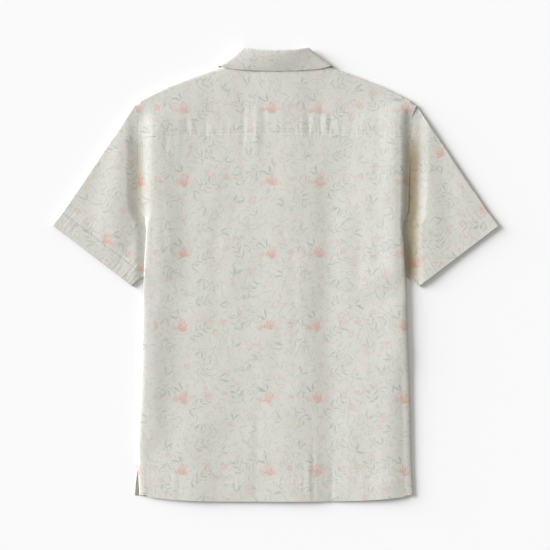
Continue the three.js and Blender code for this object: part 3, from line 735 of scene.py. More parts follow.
faded_print, start, end = new_group(
    "faded_print", {"Cut": VECTOR}, {"Color": COLOUR, "Ink": NUMBER, "Thread Height": NUMBER}
)
cut_mm = calc_vector("MULTIPLY", start["Cut"], (1000, 1000, 0))
cut_mm = calc_vector("SUBTRACT", cut_mm, FIRST_FLOWER)
wobble = calc_vector("SUBTRACT", noise(cut_mm, 0.045, 1.0, "Color"), (0.5, 0.5, 0))
drawn = calc_vector("ADD", cut_mm, calc_vector("MULTIPLY", wobble, (11, 11, 0)))


def in_repeat(x, y, turn_degrees=0.0):
    """The drawn place as seen from one motif, which comes again in each repeat."""
    moved = calc_vector("SUBTRACT", drawn, (x, y, 0))
    reach = (REPEAT[0] / 2, REPEAT[1] / 2, 1)
    wrapped = calc_vector("WRAP", moved, reach, tuple(-side for side in reach))
    return spun(wrapped, math.radians(-turn_degrees)) if turn_degrees else wrapped


def placed_fan(place, spread, petal_angle, reach):
    """A fan of petals at a place: its drawn lines and its fill."""
    sizes = {"Spread": spread, "Petal Angle": petal_angle, "Reach": reach}
    return placed_group(petal_fan, Place=place, **sizes)


def printed_over(ground, ink, *masks_and_strengths):
    """Prints one ink over the ground, where any of the masks is inked."""
    masks, strengths = masks_and_strengths[::2], masks_and_strengths[1::2]
    total = 0.0
    for mask, strength in zip(masks, strengths):
        total = calc("MAXIMUM", times(mask, strength), total)
    faded = times(total, fading)
    return blended(faded, ground, ink)


fading = times_plus(noise(cut_mm, 0.11, 2.0), 1.5, 0.15, clamp=True)
soft_cloud = noise(cut_mm, 0.035, 2.0)
colour = blended(soft_cloud, GROUND_SHADE, GROUND)

# Tendrils: thin bands where a slow noise passes its middle value.
tendril_masks = []
for scale, offset in ((0.05, (0, 0, 0)), (0.06, (91, 37, 0)), (0.055, (-53, 71, 0))):
    shifted = calc_vector("ADD", drawn, offset)
    height = minus(noise(shifted, scale, 0.6), 0.5)
    band = times_plus(magnitude(height), -75.0, 1.1, clamp=True)
    broken = times_plus(noise(shifted, 0.12, 0.0), 6.0, -2.9, clamp=True)
    tendril_masks.append(times(band, broken))

# Layers of strokes: where each starts, the cell, the stroke's length and width, how many are inked.
STROKE_LAYERS = (
    ((0, 0, 0), 17.0, 16.0, 1.15, 0.8),
    ((310, 170, 0), 15.0, 14.0, 1.0, 0.75),
    ((-190, 260, 0), 13.0, 11.0, 1.5, 0.5),
    ((420, -130, 0), 16.0, 15.0, 0.8, 0.85),
    ((77, -310, 0), 14.0, 13.5, 0.8, 0.8),
    ((-520, -90, 0), 18.0, 17.0, 1.3, 0.7),
    ((640, 330, 0), 15.0, 13.0, 0.9, 0.7),
)
layers = []
for offset, cell, length, width, share in STROKE_LAYERS:
    place = calc_vector("ADD", drawn, offset)
    sizes = dict(Cell=cell, Length=length, Width=width, Share=share)
    layers.append(placed_group(strokes, Place=place, **sizes)["Mask"])
green_tendrils, peach_tendrils, ochre_tendrils = tendril_masks
colour = printed_over(colour, OCHRE, ochre_tendrils, 0.45, layers[4], 0.5)
colour = printed_over(colour, PEACH, peach_tendrils, 0.55, layers[3], 0.6, layers[6], 0.5)
colour = printed_over(colour, DUSTY_BLUE, layers[1], 0.32)
green_layers = (green_tendrils, 0.26, layers[0], 0.36, layers[2], 0.28, layers[5], 0.36)
colour = printed_over(colour, LEAF_GREEN, *green_layers)

peach_masks, coral_masks = [], []
for x, y, radius, strength in BLOSSOMS:
    flower = placed_group(blossom, Place=in_repeat(x, y), Radius=radius)
    coral_masks += [flower["Lines"], 0.5 * strength]
    peach_masks += [flower["Fill"], 0.16 * strength]
for x, y, turn_degrees, reach, strength in BUDS:
    bud = placed_fan(in_repeat(x, y, turn_degrees), 0.75, 0.3, reach)
    coral_masks += [bud["Lines"], 0.6 * strength]
    peach_masks += [bud["Fill"], 0.14 * strength]

# The main flower stands twice in each repeat, as a fan of narrow petals over a tighter one.
repeat_start = (-BEFORE_FLOWER, -REPEAT[1] / 2, -1)
repeat_end = (REPEAT[0] - BEFORE_FLOWER, REPEAT[1] / 2, 1)
x, y = parts_of(calc_vector("WRAP", drawn, repeat_end, repeat_start))
is_second = calc("GREATER_THAN", x, SECOND_FLOWER / 2)
x = times_plus(is_second, -SECOND_FLOWER, x)
flower_place = faded_print.nodes.new("ShaderNodeCombineXYZ")
wire(flower_place.inputs[0], x)
wire(flower_place.inputs[1], y)
for foot, turn_degrees, spread, petal_angle, reach, strength in (
    ((-8, -14, 0), -34, 0.6, 0.16, 27.0, 1.0),
    ((5, -15, 0), 20, 0.55, 0.2, 20.0, 0.95),
    ((-2, -5, 0), 70, 0.36, 0.18, 18.0, 0.65),
):
    from_foot = calc_vector("SUBTRACT", flower_place.outputs[0], foot)
    place = spun(from_foot, math.radians(-turn_degrees))
    fan = placed_fan(place, spread, petal_angle, reach)
    coral_masks += [fan["Lines"], strength]
    peach_masks += [fan["Fill"], 0.34 * strength]
colour = printed_over(colour, PEACH, *peach_masks)
colour = printed_over(colour, CORAL, *coral_masks)

green_masks, blue_masks = [], []
for x, y, turn_degrees, ink, strength in SPRIGS:
    mask = placed_group(sprig, Place=in_repeat(x, y, turn_degrees))["Mask"]
    (green_masks if ink == "green" else blue_masks).extend([mask, 0.66 * strength])
for x, y, turn_degrees, strength in LEAF_PAIRS:
    mask = placed_group(leaf_pair, Place=in_repeat(x, y, turn_degrees))["Mask"]
    green_masks += [mask, 0.78 * strength]
colour = printed_over(colour, DUSTY_BLUE, *blue_masks)
colour = printed_over(colour, LEAF_GREEN, *green_masks)

# The weave: fine warp and weft with the odd thicker thread, in the height and a little in colour.
warp_slub = noise(calc_vector("MULTIPLY", cut_mm, (1.1, 0.05, 0)), 1.0, 1.0)
weft_slub = noise(calc_vector("MULTIPLY", cut_mm, (0.05, 1.1, 0)), 1.0, 1.0)
x, y = parts_of(calc_vector("MULTIPLY", cut_mm, (14, 14, 0)))
threads = times(calc("SINE", x), calc("SINE", y))
slubs = calc("ADD", warp_slub, weft_slub)
wire(end["Thread Height"], times_plus(threads, 0.25, slubs))
thread_shade = times_plus(slubs, 0.1, 0.9)
wire(end["Color"], blended(1.0, colour, thread_shade, "MULTIPLY"))
wire(end["Ink"], fading)


def cotton(name, reversed_side):
    """The printed cotton's material, for its printed face or for its reverse, darkened with painted
    shade.
    """
    material = bpy.data.materials.new(name)
    material.use_nodes = True
    tree = material.node_tree
    shader = tree.nodes["Principled BSDF"]
    cut = tree.nodes.new("ShaderNodeUVMap")
    cut.uv_map = "flat_cut"
    print_node = placed_group(faded_print, Cut=cut.outputs[0])
    colour = print_node["Color"]
    if reversed_side:
        # Painted shade: the reverse goes three quarters of the way to a dark brown, for the insides
        # in shade.
        colour = blended(0.75, colour, REVERSE_PAINTED_SHADE)
    # Painted shade: the colour is multiplied towards a dark brown in the hollows between body and
    # sleeves.
    hollow_shade = tree.nodes.new("ShaderNodeAttribute")
    hollow_shade.attribute_name = "hollow_shade"
    hollow_shaded = blended(hollow_shade.outputs["Fac"], colour, HOLLOW_PAINTED_SHADE, "MULTIPLY")
    wire(shader.inputs["Base Color"], hollow_shaded)
    wire(shader.inputs["Roughness"], times_plus(print_node["Ink"], 0.08, 0.8))
    shader.inputs["Sheen Weight"].default_value = 0.12
    shader.inputs["Sheen Roughness"].default_value = 0.5
    shader.inputs["Specular IOR Level"].default_value = 0.25
    bump = tree.nodes.new("ShaderNodeBump")
    bump.inputs["Strength"].default_value = 0.5
    bump.inputs["Distance"].default_value = 0.00018
    wire(bump.inputs["Height"], print_node["Thread Height"])
    wire(shader.inputs["Normal"], bump.outputs[0])
    return material


printed = cotton("printed_cotton", False)
shaded_reverse = cotton("printed_cotton_reverse_shaded", True)

back_length = yoke_seam_y(BODY_HALF_WIDTH) - back_hem_y(BODY_HALF_WIDTH)
back_shares = spaced(0, 0.4, 0.4, 1.6, 46, 5, back_length - 30, 1.6, back_length) / back_length
back_grid = np.array([back_row(share, cloth_top) for share in back_shares])
smooth_grid = np.array([back_row(share, body_top) for share in back_shares])
allowance = np.array([(0.7, 0.35), (1.6, 0.9), (3.5, 1), (SEAM_ALLOWANCE, 1)])
tucked_rows = [back_grid[-1] + (0, out, -SEAM_SINK * sink) for out, sink in allowance]
back_grid = np.concatenate([back_grid, tucked_rows])
smooth_tucked = [smooth_grid[-1] + (0, out, 0) for out, _ in allowance]
smooth_grid = np.concatenate([smooth_grid, smooth_tucked])
back_across = arc_lengths(smooth_grid, smooth_grid.shape[1] // 2)
back_flat = np.stack([back_across, smooth_grid[..., 1]], axis=2)
above_hem = back_grid[..., 1] - back_hem_y(back_grid[..., 0])
in_hem = 1 - ease(above_hem, BACK_HEM_DEPTH - 1.2, BACK_HEM_DEPTH + 1.2)
back_extra = HEM_EXTRA * in_hem * (back_grid[..., 2] > 3)
back = cloth_shell("back_cloth", back_grid, back_flat, extra=back_extra)
finish_cloth(back, "back", (printed, shaded_reverse))

# The yoke: one layer of the same cotton from the seam with the back up to the neckline. It goes
# over both shoulders and is sewn to the fronts 30 mm below them.
YOKE_FRONT_DEPTH = 30
NECK_SIDE_X = 79.5
YOKE_SEAM_END_X = 233
COLLAR_LIFT = 1.6
SHOULDER_FOLD = rows_of(
    "x y",
    (0, 381),
    (78, 363),
    (99, 355),
    (131, 344.5),
    (158, 334),
    (186, 323),
    (211, 310.5),
    (232, 299.5),
    (243, 291.5),
)
YOKE_NECK = rows_of(
    "at x y seam_x",
    (0, 0, 357.4, 0),
    (0.4, 34, 357.2, 44),
    (0.6, 58, 358, 66),
    (0.74, 71, 361, 80),
    (0.84, 78, 367, 92),
    (0.92, 79.5, 382, 103),
    (1, 79.5, 397, 113),
)
back_top_row = back_row(1.0, body_top)


def side_drop(x, y):
    """How far the yoke's ends sink to the armhole seam, as the back does beside them."""
    row = back_top_row[np.argsort(back_top_row[:, 0])]
    sunk = np.interp(x, row[:, 0], row[:, 2]) - body_top(x, yoke_seam_y(x))
    return sunk * ease(np.abs(x), 195, 206) * (1 - ease(y, 266, 291))


def shoulder_fold_y(x):
    return read(SHOULDER_FOLD, "x", "y", np.abs(x))


def over_collar(x, y):
    """1 over the collar's leaf, on the underside, and 0 well away from it."""
    return (1 - ease(np.abs(x), 104, 134)) * ease(y, 206, 236)


def shoulder_roll(x):
    fold_y = shoulder_fold_y(x)
    return (body_top(x, fold_y) - FLOOR_LAYER - COLLAR_LIFT * over_collar(x, fold_y)) / 2


def fold_over_shoulder(x, y, top):
    """A place of the yoke's flat cut, folded over the shoulder."""
    fold_y = shoulder_fold_y(x)
    radius = shoulder_roll(x)
    past = y - (fold_y - radius)
    turn = np.clip(past / radius, 0, math.pi)
    rolled_y = fold_y - radius * (1 - np.sin(turn))
    under_y = fold_y - radius - (past - math.pi * radius)
    collar_y = np.where(past > math.pi * radius, under_y, fold_y)
    under = FLOOR_LAYER + COLLAR_LIFT * over_collar(x, collar_y)
    placed_y = np.where(past <= 0, y, np.where(past < math.pi * radius, rolled_y, under_y))
    upper_y = np.minimum(y, fold_y)
    fine = (top(x, upper_y) - body_top(x, upper_y)) * ease(-past, -radius, 6)
    height = np.where(past <= 0, body_top(x, y), under + radius * (1 + np.cos(turn)))
    height = height + side_drop(x, y) * ease(-past, -2 * radius, 4)
    return np.stack([x + 0 * y, placed_y, height + fine], axis=-1)


def yoke_side(side, top):
    """Half of the yoke: its columns from the middle to the armhole, with their flat places."""
    neck = np.linspace(0, 1, 66)
    start_x = read(YOKE_NECK, "at", "seam_x", neck)
    end_x = read(YOKE_NECK, "at", "x", neck)
    end_y = read(YOKE_NECK, "at", "y", neck)
    front_seam = lambda x: shoulder_fold_y(x) + YOKE_FRONT_DEPTH + (math.pi - 2) * shoulder_roll(x)
    end_y[-1] = front_seam(NECK_SIDE_X)
    shoulder = np.linspace(0, 1, 72)[1:]
    armhole_end_y = shoulder_fold_y(YOKE_SEAM_END_X) - YOKE_FRONT_DEPTH
    armhole_end = abs(armhole_x(side, armhole_end_y)) - SEAM_GAP
    start_x = np.concatenate([start_x, mix(start_x[-1], YOKE_SEAM_END_X, shoulder)])
    shoulder_end = mix(NECK_SIDE_X, armhole_end, shoulder)
    end_x = np.concatenate([end_x, shoulder_end])
    end_y = np.concatenate([end_y, front_seam(shoulder_end)])
    start_y = yoke_seam_y(start_x) + SEAM_GAP / 2
    length = end_y - start_y
    roll = shoulder_roll(end_x)
    roll_start = np.minimum(shoulder_fold_y(end_x) - roll - start_y, 0.8 * length)
    roll_end = np.minimum(roll_start + math.pi * roll, 0.93 * length)
    rise = spaced(0, 0.004, 0.004, 0.016, 0.3, 0.03, 1)[:, None]
    over = np.linspace(0, 1, 15)[1:, None]
    down = np.linspace(0, 1, 8)[1:, None]
    heights = np.concatenate(
        [roll_start * rise, mix(roll_start, roll_end, over), mix(roll_end, length, down)]
    )
    flat_x = side * mix(start_x, end_x, heights / length)
    flat_y = start_y + heights
    folded = fold_over_shoulder(flat_x, flat_y, top)
    for _ in range(6):
        edge_x = armhole_x(side, folded[:, -1, 1]) - side * SEAM_GAP
        folded[:, -1] = fold_over_shoulder(edge_x, flat_y[:, -1], top)
    flat = np.stack([flat_x, flat_y], axis=-1)
    flat[:, -1, 0] = folded[:, -1, 0]
    return folded, flat


yoke_left, yoke_left_flat = yoke_side(-1, cloth_top)
yoke_right, yoke_right_flat = yoke_side(1, cloth_top)
yoke_grid = np.concatenate([yoke_left[:, ::-1], yoke_right[:, 1:]], axis=1)
yoke_flat = np.concatenate([yoke_left_flat[:, ::-1], yoke_right_flat[:, 1:]], axis=1)
yoke = cloth_shell("yoke_cloth", yoke_grid, yoke_flat)
finish_cloth(yoke, "yoke", (printed, shaded_reverse))

# The fronts: two panels of the same cotton on the surface, the left one outermost. They lap by
# 34 mm over the buttons, and at the neck they lie on the collar.
FRONT_HEM_Y = -386
VENT_TOP_Y = -323
PLACKET_HALF_WIDTH = 17
PLACKET_RAMP_START = 18.5
PLACKET_RAMP_END = 31
PLACKET_LIFT = 2.3
LAYER_STEP = 1.6
SHOULDER_Y = 291.5
FRONT_VENT_EDGE = rows_of(
    "y left right", (-391, -243.4, 218.5), (-340, -238.2, 217), (-323, -226, 216.6)
)
FRONT_NECKLINE = rows_of(
    "x y", (0, 273.6), (20, 276), (36, 282), (54, 296), (68, 313.5), (74.5, 330), (78.5, 336)
)


def front_hem_y(x):
    return FRONT_HEM_Y + 6 * np.minimum(1, np.abs(x / BODY_HALF_WIDTH)) ** 3


def front_outer_x(side, y):
    armhole = armhole_x(side, y) - side * SEAM_GAP
    vent = read(FRONT_VENT_EDGE, "y", SIDE_NAME[side], y)
    seam = side_seam_x(side, y) - side * SEAM_GAP
    return np.where(y > ARMPIT_Y, armhole, np.where(y < VENT_TOP_Y, vent, seam))


def front_top_y(x):
    neck = read(FRONT_NECKLINE, "x", "y", np.abs(x)) - SEAM_GAP
    shoulder = shoulder_fold_y(x) - YOKE_FRONT_DEPTH - SEAM_GAP
    return np.where(np.abs(x) < NECK_SIDE_X, neck, shoulder)


def front_height(side, x, y):
    over_buttons = 1 - ease(np.abs(x), PLACKET_RAMP_START, PLACKET_RAMP_END)
    lift = np.maximum(PLACKET_LIFT * over_buttons, COLLAR_LIFT * over_collar(x, y))
    return FLOOR_LAYER + lift + (LAYER_STEP * over_buttons if side > 0 else 0)


def front_grid(side):
    shoulder_end = float(front_outer_x(side, SHOULDER_Y - YOKE_FRONT_DEPTH))
    hem_y, top_y = front_hem_y(shoulder_end), float(front_top_y(shoulder_end))
    bends = np.concatenate([[VENT_TOP_Y], SIDE_SEAM["y"][1:], [66, 98, 112, 134]])
    stops = np.concatenate([[hem_y, hem_y + BACK_HEM_DEPTH], bends, [top_y]])
    levels = np.unique(np.concatenate([spaced(hem_y, 7, top_y), stops]))
    shares = (levels - hem_y) / (top_y - hem_y)
    lap = spaced(-PLACKET_HALF_WIDTH, 4, PLACKET_RAMP_START, 2, PLACKET_RAMP_END) * side
    flat_width = abs(shoulder_end) - PLACKET_RAMP_END
    neck_share = (NECK_SIDE_X - PLACKET_RAMP_END) / flat_width
    outwards = spaced(0, 0.034, neck_share, 0.04, 1)[1:]
    rows = []
    for share in shares:
        row_end = float(front_outer_x(side, mix(hem_y, top_y, share)))
        x = np.concatenate([lap, mix(lap[-1], row_end, outwards)])
        top_x = np.concatenate([lap, mix(lap[-1], shoulder_end, outwards)])
        y = mix(front_hem_y(top_x), front_top_y(top_x), share)
        rows.append(np.stack([x, y, front_height(side, x, y)], axis=1))
    grid = np.array(rows)
    return grid[:, ::-1] if side > 0 else grid


for side, name in SIDE_NAME.items():
    grid = front_grid(side)
    flat = grid[..., :2] * (-1, 1) + (610, 0)
    front = cloth_shell(f"front_{name}_cloth", grid, flat)
    finish_cloth(front, f"front_{name}", (printed, shaded_reverse))

# The sleeves: each is one tube of the same cotton, flattened, with a stitched hem 30 mm deep. The
# sleeve is sewn into the armhole, where the body's side fold lies over its lower part.
SLEEVE_CORNER = {
    "cuff_outer": (384.3, 85),
    "cuff_inner": (247.6, -19.4),
    "hem_outer": (366, 108.3),
    "hem_inner": (223.7, -0.6),
}
SLEEVE_LOFT = 4.8
SLEEVE_HEM_DEPTH = 30
FLAT_SLEEVE_X = 300  # where the sleeve's flat cut lies, clear of the other pieces
SLEEVE_RISE = {-1: 20, 1: 22}
SLEEVE_RISE_START = {-1: 0, 1: 12}
SLEEVE_TUCKED = {-1: (104, 185), 1: (140, 225)}  # where it comes up from under the body, in Y
SLEEVE_ALLOWANCE = (9, 5)  # under the side fold, and up at the shoulder
ALLOWANCE_RINGS = ((0.12, 0.3), (0.35, 0.9), (1, 1))  # how far in and how deep, as shares
HEM_GROOVE = {-1: 0.4, 1: 0.03}
HEM_STEP = {-1: 0.2, 1: 0.04}
SLEEVE_RIDGE = {
    -1: dict(x0=-262, y0=262, x1=-276, y1=40, width=24, height=1.8),
    1: dict(x0=256, y0=280, x1=268, y1=-60, width=26, height=1.2),
}
SLEEVE_CREASES = {
    -1: rows_of(
        "x0 y0 x1 y1 width height",
        (-262, 250, -300, 60, 18, 0.4),
        (-300, 190, -345, 75, 14, -0.25),
        (-285, 130, -318, 45, 11, 0.2),
        (-250, 60, -270, 5, 9, -0.25),
    ),
    1: rows_of(
        "x0 y0 x1 y1 width height",
        (270, 250, 306, 60, 18, -0.4),
        (296, 210, 344, 80, 18, 0.3),
        (290, 120, 322, 40, 11, -0.2),
        (330, 160, 368, 96, 11, -0.2),
    ),
}


def sleeve_place(side, around, level):
    """A place of the flattened sleeve, from outer to underarm fold and from cuff to armhole."""
    corner = {name: np.array((side * x, y)) for name, (x, y) in SLEEVE_CORNER.items()}
    around = np.asarray(around, float)[:, None]
    hem = mix(corner["hem_outer"], corner["hem_inner"], around)
    if level <= 0:
        return mix(mix(corner["cuff_outer"], corner["cuff_inner"], around), hem, 1 + level)
    armhole_y = mix(SHOULDER_Y, ARMPIT_Y, around)
    return mix(hem, np.concatenate([armhole_x(side, armhole_y), armhole_y], axis=1), level)


def sleeve_top(side, place, fine=True):
    x, y = place[:, 0], place[:, 1]
    tucked = 1 - (ease(y, *SLEEVE_TUCKED[side]) if fine else ease(y, 104, 120))
    edge = side * read(SIDE_FOLD[side], "y", "edge", y)
    from_valley = side * x - np.maximum(side * armhole_x(side, y), edge)
    seam_height = read(SIDE_FOLD[side], "y", "end_height", YOKE_SEAM_Y)
    valley = mix(seam_height, FLOOR_LAYER + LAYER_STEP, tucked)
    full = SLEEVE_LOFT + fold_height(SLEEVE_RIDGE[side], x, y)
    start = SLEEVE_RISE_START[side] if fine else 0
    rise = ease(from_valley, start, SLEEVE_RISE[side] + start)
    if fine:
        full = full + folds_height(SLEEVE_CREASES[side], x, y) + 0.8 * waves_height(x + 57, y + 91)
    return mix(valley, full, rise)


def sleeve_ring(side, level, fine):
    """One ring of the sleeve: under it from the underarm out, over the outer fold, back above."""
    ends = sleeve_place(side, [0, 1], level)
    width = np.linalg.norm(ends[1] - ends[0])
    outer_radius, inner_radius = (sleeve_top(side, ends, fine=False) - FLOOR_LAYER) / 2
    outer_share, inner_share = outer_radius / width, inner_radius / width
    turn = np.linspace(0, math.pi, 12)[1:-1]
    bends = ARMHOLE["y"]
    lower_y = np.unique(np.concatenate([spaced(ARMPIT_Y, 9, SHOULDER_Y), bends]))
    upper_y = np.unique(np.concatenate([spaced(ARMPIT_Y, 2.6, SHOULDER_Y), bends]))[::-1]
    lower_share, upper_share = (
        mix(outer_share, 1 - inner_share, (SHOULDER_Y - y) / (SHOULDER_Y - ARMPIT_Y))
        for y in (lower_y, upper_y)
    )
    lower = sleeve_place(side, lower_share, level)
    upper = sleeve_place(side, upper_share, level)
    outer = sleeve_place(side, outer_share * (1 - np.sin(turn)), level)
    inner = sleeve_place(side, 1 - inner_share * (1 - np.sin(turn)), level)
    heights = [
        np.full(len(lower), FLOOR_LAYER),
        FLOOR_LAYER + outer_radius * (1 - np.cos(turn)),
        sleeve_top(side, upper, fine),
        FLOOR_LAYER + inner_radius * (1 + np.cos(turn)),
    ]
    places = np.concatenate([lower, outer, upper, inner])
    return np.concatenate([places, np.concatenate(heights)[:, None]], axis=1), len(lower)


for side, name in SIDE_NAME.items():
    hem_levels = spaced(-1, 0.02, -0.96, 0.05, -0.08, 0.02, 0)
    arm_levels = 1 - (1 - np.linspace(0, 1, 68)[1:]) ** 1.5
    levels = np.concatenate([hem_levels, arm_levels])
    rings = np.array([sleeve_ring(side, level, True)[0] for level in levels])
    smooth_rings = np.array([sleeve_ring(side, level, False)[0] for level in levels])
    last_ring = rings[-1]
    seam_y, seam_z = last_ring[:, 1], last_ring[:, 2]
    inward = mix(*SLEEVE_ALLOWANCE, ease(seam_y, *SLEEVE_TUCKED[side]))
    inward = mix(0.4, inward, (1 - ease(seam_y, 286, 292)) * ease(seam_z, 0.8, 1.6))
    for share, sink in ALLOWANCE_RINGS:
        ring = last_ring - side * share * inward[:, None] * (1, 0, 0)
        ring[:, 2] -= SEAM_SINK * sink * ease(ring[:, 2], 2.2, 3.8)
        rings = np.concatenate([rings, ring[None]])
        smooth_rings = np.concatenate([smooth_rings, ring[None]])
    levels = np.concatenate([levels, (1.005, 1.015, 1.04)])
    lower_count = sleeve_ring(side, 0.0, False)[1]
    cuff_outer, cuff_inner = sleeve_place(side, [0, 1], -1)
    inwards = (cuff_inner - cuff_outer) / np.linalg.norm(cuff_inner - cuff_outer)
    upwards = np.array((-inwards[1], inwards[0])) * -side
    closed = np.concatenate([smooth_rings, smooth_rings[:, :1]], axis=1)
    flat_in = (closed[..., :2] - cuff_outer) @ inwards
    flat_up = (closed[..., :2] - cuff_outer) @ upwards
    step = np.diff(closed, axis=1)
    swell = np.linalg.norm(step, axis=2) - np.linalg.norm(step[..., :2], axis=2)
    swell = np.concatenate([np.zeros((len(levels), 1)), np.cumsum(swell, axis=1)], axis=1)
    fold_column = lower_count + 5
    at_fold = slice(fold_column, fold_column + 1)
    under = np.arange(closed.shape[1]) < fold_column
    flat_in = np.where(under, 2 * flat_in[:, at_fold] - flat_in, flat_in) + swell - swell[:, at_fold]
    flat = np.stack([(flat_in + FLAT_SLEEVE_X) * side, flat_up], axis=-1)
    line = (levels + 0.02)[:, None]
    from_line = np.abs(line) * SLEEVE_HEM_DEPTH
    from_band = SLEEVE_HEM_DEPTH * (1 + line) - 12
    upper_side = smooth_rings[..., 2] > 3
    along = (rings[..., :2] - cuff_outer) @ inwards
    puckered = upper_side * ease(along, 0, 20)
    rings[..., 2] += puckered * gathers(along * 1.3 - 110, from_line, 6, 0.14)
    rings[..., 2] -= upper_side * HEM_GROOVE[side] * np.exp(-((from_line / 1.3) ** 2))
    rings[..., 2] += puckered * gathers(along * 0.9 - 60, from_band, 14, 0.09)
    extra = HEM_STEP[side] * (1 - ease(line, -0.05, 0.03)) * upper_side
    if side > 0:
        rings = np.roll(rings[:, ::-1], 1, axis=1)
        extra = np.roll(extra[:, ::-1], 1, axis=1)
        flat = flat[:, ::-1]
    sleeve = cloth_shell(f"sleeve_{name}_cloth", rings, flat, tube=True, extra=extra)
    finish_cloth(sleeve, f"sleeve_{name}", (printed, shaded_reverse))

# The collar: one piece round the neck, doubled and soft. At the back its leaf falls over the yoke;
# on the fronts it lies under them, with its points by the opening.
COLLAR = rows_of(
    "at base_x base_y base_z roll_x roll_y roll_z edge_x edge_y edge_z lean radius",
    (0.0, 0, 358, 8.4, 0, 386, 15.6, 0, 350.4, 10.8, 90, 2.6),
    (0.17, 34, 357.8, 8.2, 33, 387.6, 15.4, 38, 351.5, 10.6, 90, 2.6),
    (0.3, 58, 359, 7.4, 48.5, 389.4, 13.6, 70, 353.6, 10, 72, 2.6),
    (0.38, 70, 363, 6.2, 53, 389.4, 11, 88, 357.2, 9, 40, 2.4),
    (0.44, 76, 368, 4.6, 54.5, 388.6, 7, 97, 359.6, 6, 0, 2.2),
    (0.475, 76.6, 366, 3.6, 54.6, 386.4, 4.6, 98.4, 358.4, 3.2, -32, 1.8),
    (0.51, 76.7, 361, 3, 54.5, 383, 2.6, 98.6, 354.4, 0.7, -64, 1.2),
    (0.56, 76.8, 352, 2.3, 54, 375, 1.5, 98.6, 343, 0.6, -90, 0.9),
    (0.63, 76, 340, 2.3, 51, 363, 1.5, 98, 327, 0.6, -90, 0.9),
    (0.75, 68, 314.5, 2.3, 43, 338, 1.5, 95, 302, 0.6, -90, 0.9),
    (0.9, 36, 283, 2.3, 22, 305, 1.5, 85, 274, 0.6, -90, 0.9),
    (1.0, 4, 274.5, 2.3, 4, 295, 1.5, 73, 262, 0.6, -90, 0.9),
)
COLLAR_NECK_SHARE = 0.63
COLLAR_NECK_GAP = 1
# At the back the leaf settles towards its edge, arches a little and is pressed flatter on top.
COLLAR_SETTLED = 2.1
COLLAR_ARCH = dict(x=-12, half_width=34, height=2.3)
COLLAR_DIP = 1.1
COLLAR_REST_Z = 8.4
COLLAR_FLATTENED = 0.6


def collar_section(signed):
    """The collar's section at a share of its half length: neck edge, stand, roll and leaf."""
    side = -1 if signed < 0 else 1
    share = abs(signed)
    at = {name: float(read(COLLAR, "at", name, share)) for name in COLLAR}
    followed = ease(share, COLLAR_NECK_SHARE, COLLAR_NECK_SHARE + 0.08)
    neck_y = float(front_top_y(at["base_x"])) + COLLAR_NECK_GAP
    base = np.array((side * at["base_x"], mix(at["base_y"], neck_y, followed), at["base_z"]))
    roll = np.array((side * at["roll_x"], at["roll_y"], at["roll_z"]))
    edge = np.array((side * at["edge_x"], at["edge_y"], at["edge_z"]))
    radius = at["radius"]
    lean = math.radians(at["lean"])
    rise = (roll - edge) * (1, 1, 0)
    rise /= np.linalg.norm(rise)
    sideways = side * math.cos(lean)
    over = np.array((sideways * rise[1], -sideways * rise[0], math.sin(lean)))
    centre = roll - rise * radius
    stand = mix(base, centre - over * radius, np.linspace(0, 1, 9)[:, None])
    turn = np.linspace(0, math.pi, 14)[1:-1, None]
    rolled = centre + rise * radius * np.sin(turn) - over * radius * np.cos(turn)
    down = spaced(0, 0.08, 0.97, 0.015, 1)[:, None]
    leaf = mix(centre + over * radius, edge, down)
    on_back = 1 - ease(share, 0.3, 0.44)
    leaf[:, 2] -= on_back * COLLAR_SETTLED * down[:, 0] ** 2
    from_arch = (leaf[:, 0] - COLLAR_ARCH["x"]) / COLLAR_ARCH["half_width"]
    arch = COLLAR_ARCH["height"] * np.exp(-(from_arch**2)) - COLLAR_DIP * ease(leaf[:, 0], 18, 48)
    leaf[:, 2] += on_back * arch * np.sin(math.pi * down[:, 0]) ** 0.7
    section = np.concatenate([stand, rolled, leaf])
    above = np.maximum(section[:, 2] - COLLAR_REST_Z, 0)
    section[:, 2] -= on_back * (1 - COLLAR_FLATTENED) * above
    return section


collar_half = spaced(0, 0.008, 0.6, 0.016, 1)
collar_signed = np.concatenate([-collar_half[:0:-1], [-1e-9], collar_half[1:]])
collar_grid = np.array([collar_section(signed) for signed in collar_signed])
section_steps = np.linalg.norm(np.diff(collar_grid, axis=1), axis=2)
neck_edge = np.zeros((len(collar_grid), 1))
collar_up = np.concatenate([neck_edge, np.cumsum(section_steps, axis=1)], axis=1)
widening = np.linalg.norm(np.diff(collar_grid, axis=0), axis=2)
collar_out = np.concatenate([np.zeros((1, collar_grid.shape[1])), np.cumsum(widening, axis=0)])
collar_out -= collar_out[len(collar_out) // 2]
collar_flat = np.stack([collar_out, -collar_up + 900], axis=-1)
collar = cloth_shell("collar_cloth", collar_grid, collar_flat)
finish_cloth(collar, "collar", (printed, printed))

# The buttons: six flat pearly ones, turned with a dished face, four holes and a rounded rim. They
# lie face down under the lapped fronts.
BUTTON_RADIUS = 5.7
BUTTON_THICKNESS = 1.9
BUTTON_HOLE_OUT = 1.35
BUTTON_HOLE_RADIUS = 0.55
BUTTON_DISH_RADIUS = 12
BUTTON_DISH_DEPTH = 0.55
PEARL_SHADE, PEARL_LIGHT = (0.74, 0.7, 0.62, 1), (0.88, 0.85, 0.79, 1)
pearl = bpy.data.materials.new("pearl_button")
pearl.use_nodes = True
tree = pearl.node_tree
shader = tree.nodes["Principled BSDF"]
place = tree.nodes.new("ShaderNodeTexCoord").outputs["Object"]
cloudy = noise(calc_vector("MULTIPLY", place, (1000, 1000, 1000)), 0.35, 2.0)
wire(shader.inputs["Base Color"], blended(cloudy, PEARL_SHADE, PEARL_LIGHT))
wire(shader.inputs["Roughness"], times_plus(cloudy, 0.12, 0.22))
shader.inputs["Coat Weight"].default_value = 0.35


